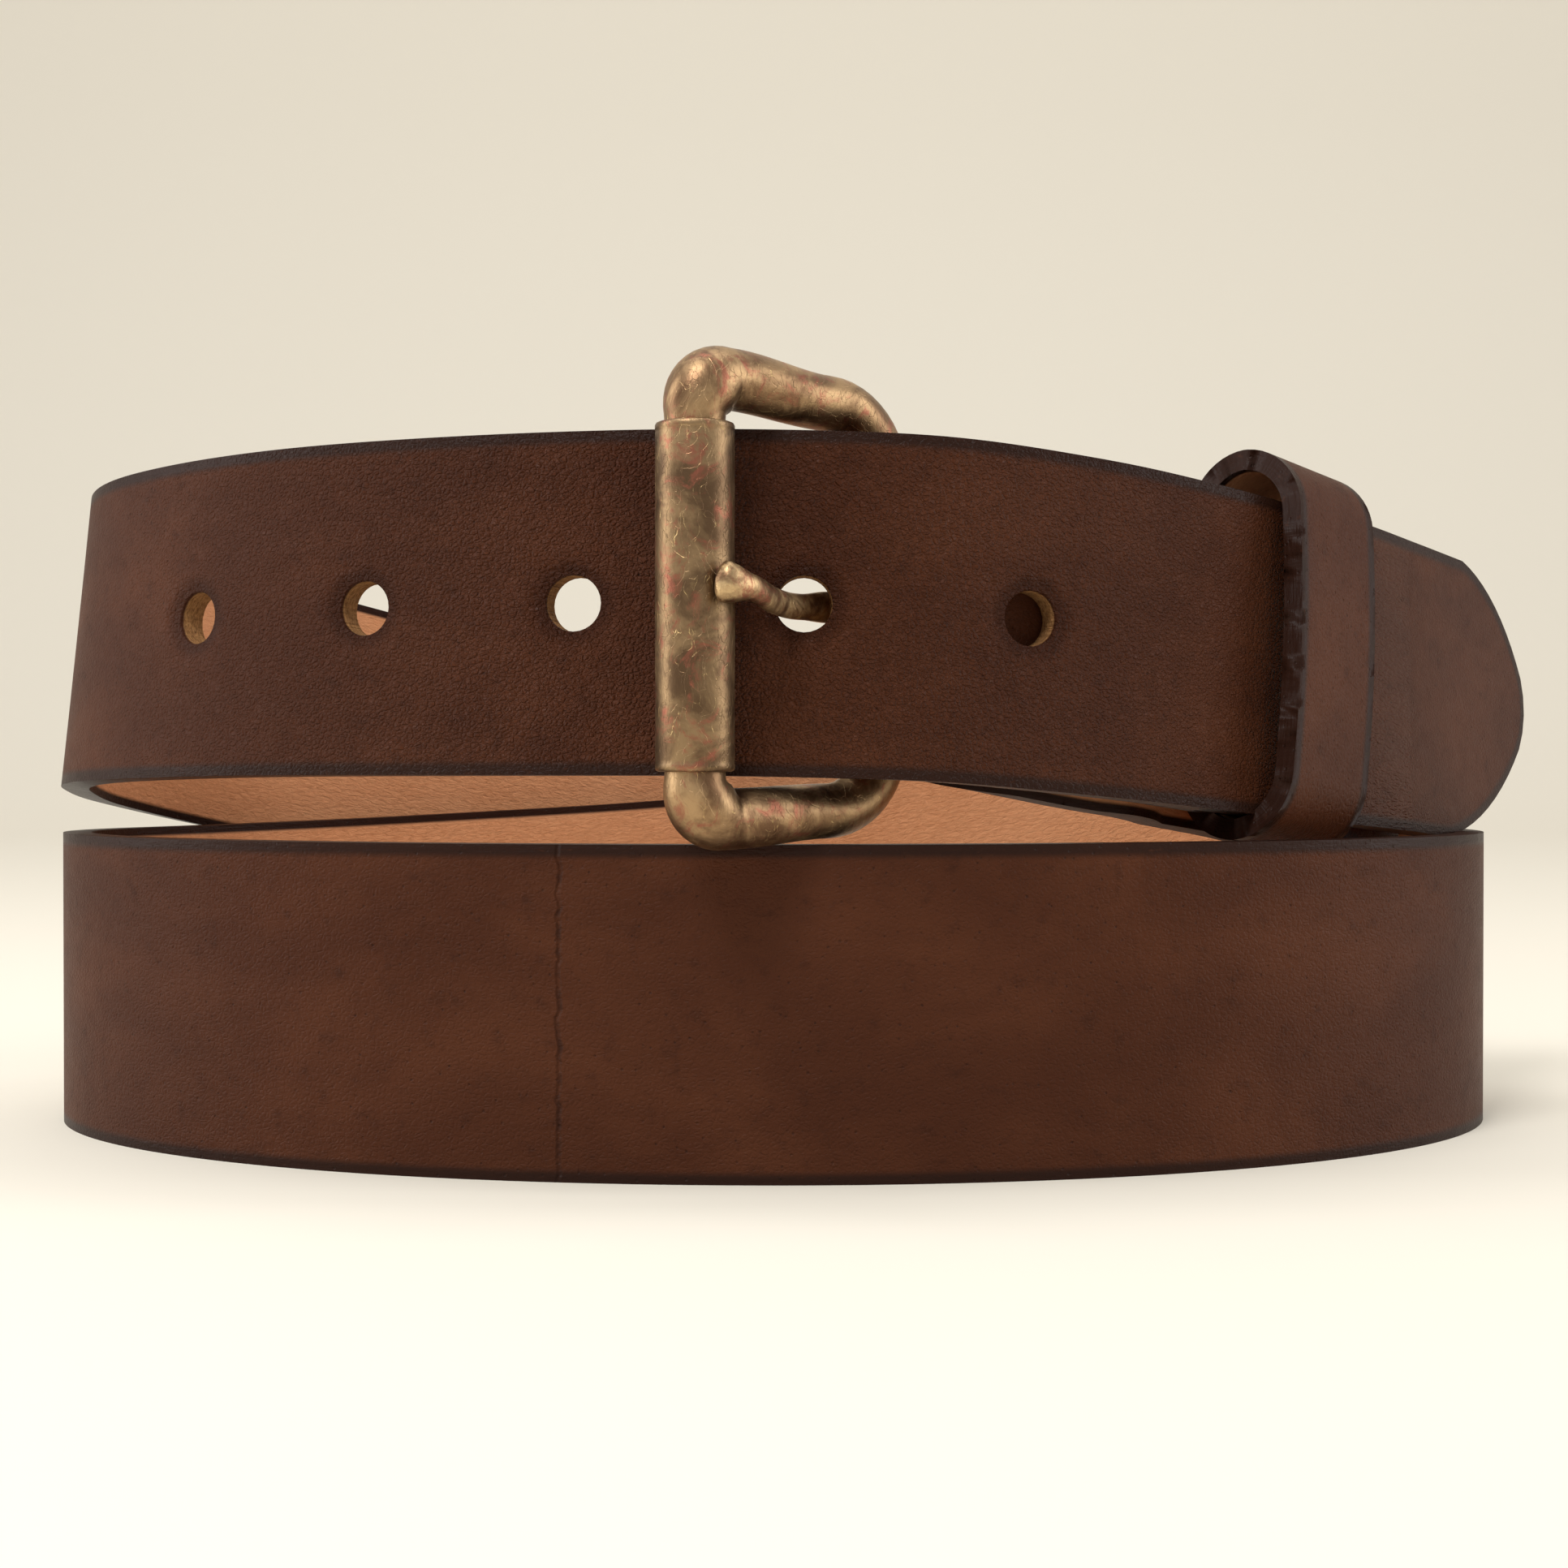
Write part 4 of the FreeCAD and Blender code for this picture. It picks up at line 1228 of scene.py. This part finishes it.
@dataclass
class Buckle:
    """The roller buckle: frame, roller and prong."""

    heel: Vector
    roller: Vector
    middle: float
    half_tall: float = 23.15
    wire_front: float = 3.35
    wire_heel: float = 3.1
    roller_bar: float = 3.2
    roller_radius: float = 4.3
    roller_half: float = 18.7
    heel_round: float = 8.0
    front_rise: float = 0.7
    heel_drop: float = 0.6

    def ring(self) -> list[tuple[Vector, Vector, Vector, float, float]]:
        """Rings of the frame's wire, all the way round."""
        reach = self.roller - self.heel
        span = reach.length
        forward = reach.normalized()
        side = Vector((-forward.y, forward.x, 0.0))
        up = Vector((0.0, 0.0, 1.0))
        front_round = self.wire_front + 0.9
        heel_round = self.heel_round
        path: list[tuple[float, float, float]] = []

        def corner(centre: tuple[float, float], start: float, radius: float, wire: float) -> None:
            """Add one rounded corner, thicker in its middle at the roller."""
            for k in range(13):
                angle = math.radians(start - 90.0 * k / 12.0)
                bulge = 0.50 * math.sin(math.pi * k / 12.0) if wire == self.wire_front else 0.0
                path.append((
                    centre[0] + math.cos(angle) * radius,
                    centre[1] + math.sin(angle) * radius,
                    wire + bulge,
                ))

        def run(
            a: float, b: float, height: float, height_after: float, first: float, last: float
        ) -> None:
            """Add an arm between two corners."""
            for k in range(1, 12):
                t = k / 12.0
                ease = t * t * (3.0 - 2.0 * t)
                level = height + (height_after - height) * ease
                path.append((a + (b - a) * t, level, first + (last - first) * ease))

        def bar(at: float, low: float, high: float, wire: float, end: float) -> None:
            """Add an upright bar that swells to its corners."""
            for k in range(1, 20):
                t = k / 20.0
                near_end = max(1.0 - min(t, 1.0 - t) / 0.020, 0.0)
                path.append((at, low + (high - low) * t, wire + (end - wire) * near_end))

        top = self.half_tall
        high, low = top + self.front_rise, -top - self.front_rise
        heel_high = top - self.heel_drop
        corner((heel_round, heel_high - heel_round), 180.0, heel_round, self.wire_heel)
        run(heel_round, span - front_round, heel_high, high, self.wire_heel, self.wire_front)
        corner((span - front_round, high - front_round), 90.0, front_round, self.wire_front)
        bar(span, high - front_round, low + front_round, self.roller_bar, self.wire_front)
        corner((span - front_round, low + front_round), 0.0, front_round, self.wire_front)
        run(span - front_round, heel_round, low, -top, self.wire_front, self.wire_heel)
        corner((heel_round, heel_round - top), -90.0, heel_round, self.wire_heel)
        bar(0.0, heel_round - top, heel_high - heel_round, self.wire_heel, self.wire_heel)

        rings = []
        count = len(path)
        for k, (x, h, wire) in enumerate(path):
            before, after = path[k - 1], path[(k + 1) % count]
            heading = forward * (after[0] - before[0]) + up * (after[1] - before[1])
            place = self.heel + forward * x + up * h
            rings.append((Vector((place.x, place.y, self.middle + h)), heading, side, wire, wire))
        return rings

    def build_frame(self) -> bpy.types.Object:
        """Build the cast frame."""
        bm = bmesh.new()
        sweep(bm, self.ring(), 36, closed=True)
        piece = write_mesh("buckle_casting", bm)
        dress(piece, AntiqueBrass(name="frame_brass", rubbed=0.30).build())
        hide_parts("buckle_frame")
        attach(piece, "buckle")
        return piece

    def build_roller(self) -> bpy.types.Object:
        """Build the rolled tube, with its turned-in ends."""
        bore = self.roller_bar + 0.08
        outer, half, lip = self.roller_radius, self.roller_half, 0.35
        profile = [
            (bore, -half + 0.10), (bore + 0.12, -half), (outer - 0.42, -half),
            (outer - 0.12, -half + 0.12), (outer, -half + lip),
            (outer, -half + 0.75), (outer - 0.07, -half + 0.95), (outer - 0.02, -half + 1.25),
            (outer - 0.02, -half / 2.0), (outer, 0.0), (outer - 0.02, half / 2.0),
            (outer - 0.02, half - 1.25), (outer - 0.07, half - 0.95), (outer, half - 0.75),
            (outer, half - lip), (outer - 0.12, half - 0.12), (outer - 0.42, half),
            (bore + 0.12, half), (bore, half - 0.10),
        ]
        place = Matrix.Translation((self.roller.x, self.roller.y, self.middle))
        bm = turned(profile, 64, place, closed=True)
        piece = write_mesh("buckle_roller", bm)
        dress(piece, AntiqueBrass(
            name="roller_brass", dark=(0.120, 0.072, 0.040), olive=(0.290, 0.190, 0.100),
            rubbed=0.18,
        ).build())
        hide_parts("roller")
        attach(piece, "roller")
        return piece

    def prong_line(self, hole: Vector) -> list[tuple[Vector, float, float]]:
        """Middle line of the prong with half sizes upright and across."""
        stand = self.roller_radius + 1.75
        eye = 3.1 + 0.95
        leave = math.radians(232.0)
        root = self.heel + Vector((math.cos(leave), math.sin(leave), 0.0)) * eye
        into = Vector((hole.x - 0.3, hole.y, 0.0))
        over = self.roller + Vector((0.90, -0.44, 0.0)) * (stand * 1.12)
        crown = self.roller + Vector((0.68, -0.735, 0.0)) * (stand * 1.01)
        tip = self.roller + Vector((0.50, -0.866, 0.0)) * stand
        end = self.roller + Vector((0.39, -0.921, 0.0)) * (stand + 0.05)
        half_way = root + (into - root) * 0.55 - Vector((0.3, 0.0, 0.0))
        return [
            (root, 1.75, 1.25), (half_way, 1.75, 1.03), (into, 1.45, 0.88), (over, 1.50, 1.05),
            (crown, 2.10, 1.45), (tip, 2.30, 1.40), (end, 1.75, 0.95),
        ]

    def prong_lean(self, part: float) -> float:
        """Height of the prong's middle line above the eye, from its root (0) to its tip (1)."""
        knots = [0.0, 0.2, 0.45, 0.62, 0.80, 1.0]
        return smooth_curve(knots, [0.0, -0.4, -0.6, -0.35, 0.7, 1.5])(part)

    def build_prong(self, hole: Vector) -> bpy.types.Object:
        """Build the prong: an eye on the heel bar and a stem to the roller."""
        knots = self.prong_line(hole)
        marks = [0.0]
        for (a, _, _), (b, _, _) in zip(knots, knots[1:]):
            marks.append(marks[-1] + (Vector((a.x, a.y)) - Vector((b.x, b.y))).length)
        curves = [
            smooth_curve(marks, [k[0].x for k in knots]),
            smooth_curve(marks, [k[0].y for k in knots]),
            smooth_curve(marks, [k[1] for k in knots]),
            smooth_curve(marks, [k[2] for k in knots]),
        ]
        steps = 56
        spots = []
        for k in range(steps + 1):
            at = marks[-1] * k / steps
            x, y, tall, across = (curve(at) for curve in curves)
            left = marks[-1] - at
            nose = math.sqrt(max(1.0 - max(1.0 - left / 1.3, 0.0) ** 2, 0.02))
            level = self.middle + self.prong_lean(at / marks[-1])
            spots.append((Vector((x, y, level)), tall * nose, across * nose))
        rings = []
        for k, (spot, tall, across) in enumerate(spots):
            low, high = spots[max(k - 1, 0)][0], spots[min(k + 1, steps)][0]
            rings.append((spot, high - low, Vector((0.0, 0.0, 1.0)), tall, across))
        stem = bmesh.new()
        sweep(stem, rings, 24, closed=False)
        inner, outer, half = 3.18, 5.05, 2.95
        profile = [
            (inner, -half + 0.3), (inner + 0.3, -half), (outer - 0.7, -half), (outer - 0.2, -half + 0.35),
            (outer, -half + 1.0), (outer, half - 1.0), (outer - 0.2, half - 0.35), (outer - 0.7, half),
            (inner + 0.3, half), (inner, half - 0.3),
        ]
        place = Matrix.Translation((self.heel.x, self.heel.y, self.middle))
        eye = turned(profile, 48, place, closed=True)
        scratch = bpy.data.meshes.new("eye_scratch")
        eye.to_mesh(scratch)
        eye.free()
        stem.from_mesh(scratch)
        bpy.data.meshes.remove(scratch)
        piece = write_mesh("buckle_prong", stem)
        dress(piece, AntiqueBrass(
            name="prong_brass", olive=(0.60, 0.42, 0.22), rubbed=0.60, grain_scale=1.3
        ).build())
        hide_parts("prong")
        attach(piece, "prong")
        return piece


# ------------------------------------------------------------------ studio


@dataclass
class Studio:
    """Camera, floor and soft lights."""

    lens: float = 53.1
    stand: Vector = field(default_factory=lambda: Vector((0.8, -316.5, 47.0)))
    pitch: float = 0.523

    def camera(self, shift: Vector) -> None:
        """Set the camera in front of the buckle.

        Args:
            shift: how far the coil's own middle is moved, in millimetres.
        """
        data = bpy.data.cameras.new("camera")
        data.lens = self.lens
        data.sensor_width = 36.0
        data.clip_start = 0.01
        camera = bpy.data.objects.new("camera", data)
        camera.location = (self.stand + shift) * MM
        camera.rotation_euler = (math.radians(90.0 - self.pitch), 0.0, 0.0)
        bpy.context.scene.collection.objects.link(camera)
        bpy.context.scene.camera = camera

    def floor(self) -> None:
        """Lay the sweep: a floor that curves up behind the belt."""
        bm = bmesh.new()
        corners = [bm.verts.new((-2.5, -1.5, 0.0)), bm.verts.new((-2.5, 1.2, 0.0))]
        line = [corners[0], corners[1]]
        for k in range(1, 13):
            turn = math.pi / 2.0 * k / 12.0
            line.append(bm.verts.new((-2.5, 1.2 + 0.8 * math.sin(turn), 0.8 * (1.0 - math.cos(turn)))))
        line.append(bm.verts.new((-2.5, 2.0, 3.2)))
        edges = [bm.edges.new((a, b)) for a, b in zip(line, line[1:])]
        made = bmesh.ops.extrude_edge_only(bm, edges=edges)
        moved = [g for g in made["geom"] if isinstance(g, bmesh.types.BMVert)]
        bmesh.ops.translate(bm, vec=(5.0, 0.0, 0.0), verts=moved)
        bmesh.ops.recalc_face_normals(bm, faces=bm.faces)
        mesh = bpy.data.meshes.new("paper_sweep")
        bm.to_mesh(mesh)
        bm.free()
        mesh.polygons.foreach_set("use_smooth", [True] * len(mesh.polygons))
        sweep_piece = bpy.data.objects.new("paper_sweep", mesh)
        bpy.context.scene.collection.objects.link(sweep_piece)
        dress(sweep_piece, PaperSweep().build())

    def lamp(
        self, name: str, place: tuple[float, float, float], aim: tuple[float, float, float],
        size: tuple[float, float], power: float, tint: Colour = (1.0, 1.0, 1.0),
    ) -> None:
        """Hang one soft box.

        Args:
            name: the lamp's name.
            place: where it hangs.
            aim: the point it faces.
            size: its width and height.
            power: its watts.
            tint: its colour.
        """
        data = bpy.data.lights.new(name, "AREA")
        data.shape = "RECTANGLE"
        data.size, data.size_y = size
        data.energy = power
        data.color = tint
        lamp = bpy.data.objects.new(name, data)
        lamp.location = place
        heading = Vector(aim) - Vector(place)
        lamp.rotation_euler = heading.to_track_quat("-Z", "Y").to_euler()
        bpy.context.scene.collection.objects.link(lamp)

    def light(self) -> None:
        """Set the lights and the even surroundings."""
        bpy.context.scene.view_settings.view_transform = "Standard"
        world = bpy.data.worlds.new("studio_air")
        world.use_nodes = True
        air = world.node_tree.nodes["Background"]
        air.inputs["Color"].default_value = (1.0, 0.985, 0.955, 1.0)
        air.inputs["Strength"].default_value = 0.66
        bpy.context.scene.world = world
        centre = (0.0, 0.0, 0.05)
        self.lamp("left_box", (-0.75, -0.05, 0.30), centre, (0.35, 0.6), 2.4)
        self.lamp("right_box", (0.75, -0.05, 0.28), centre, (0.35, 0.6), 2.2)
        self.lamp("wall_wash", (0.0, 0.4, 2.6), (0.0, 2.0, 0.6), (3.0, 0.5), 34.0)
        self.lamp("front_top_box", (-0.20, -0.42, 0.62), centre, (0.22, 0.22), 3.0)


# ------------------------------------------------------------------ the belt


def dress_fasteners() -> None:
    """Give the carried-over fasteners and staples their finishes."""
    brass = AntiqueBrass(name="fastener_brass", rubbed=0.35, grain_scale=1.4).build()
    wire = StapleWire().build()
    for node in ("screw_post_front", "screw_post_rear", "screw_front", "screw_rear"):
        dress(bpy.data.objects[node], brass)
    for node in ("keeper_staple_front", "keeper_staple_rear"):
        dress(bpy.data.objects[node], wire)


def main() -> None:
    """Build the belt, its buckle and the studio."""
    logging.basicConfig(level=logging.INFO, format="%(name)s: %(message)s")
    studio = Studio()
    coil = Coil()
    studio.camera(coil.shift)
    Strap(coil).build()
    Keeper(coil).build()
    low, high = (Vector(corner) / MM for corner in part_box("roller"))
    middle = (low + high) / 2.0
    buckle = Buckle(
        heel=Vector((coil.heel.x, coil.heel.y, 0.0)),
        roller=Vector((middle.x, middle.y, 0.0)),
        middle=middle.z,
    )
    buckle.build_frame()
    buckle.build_roller()
    buckle.build_prong(coil.section(coil.prong_angle).middle)
    dress_fasteners()
    studio.floor()
    studio.light()


if __name__ == "__main__":
    main()
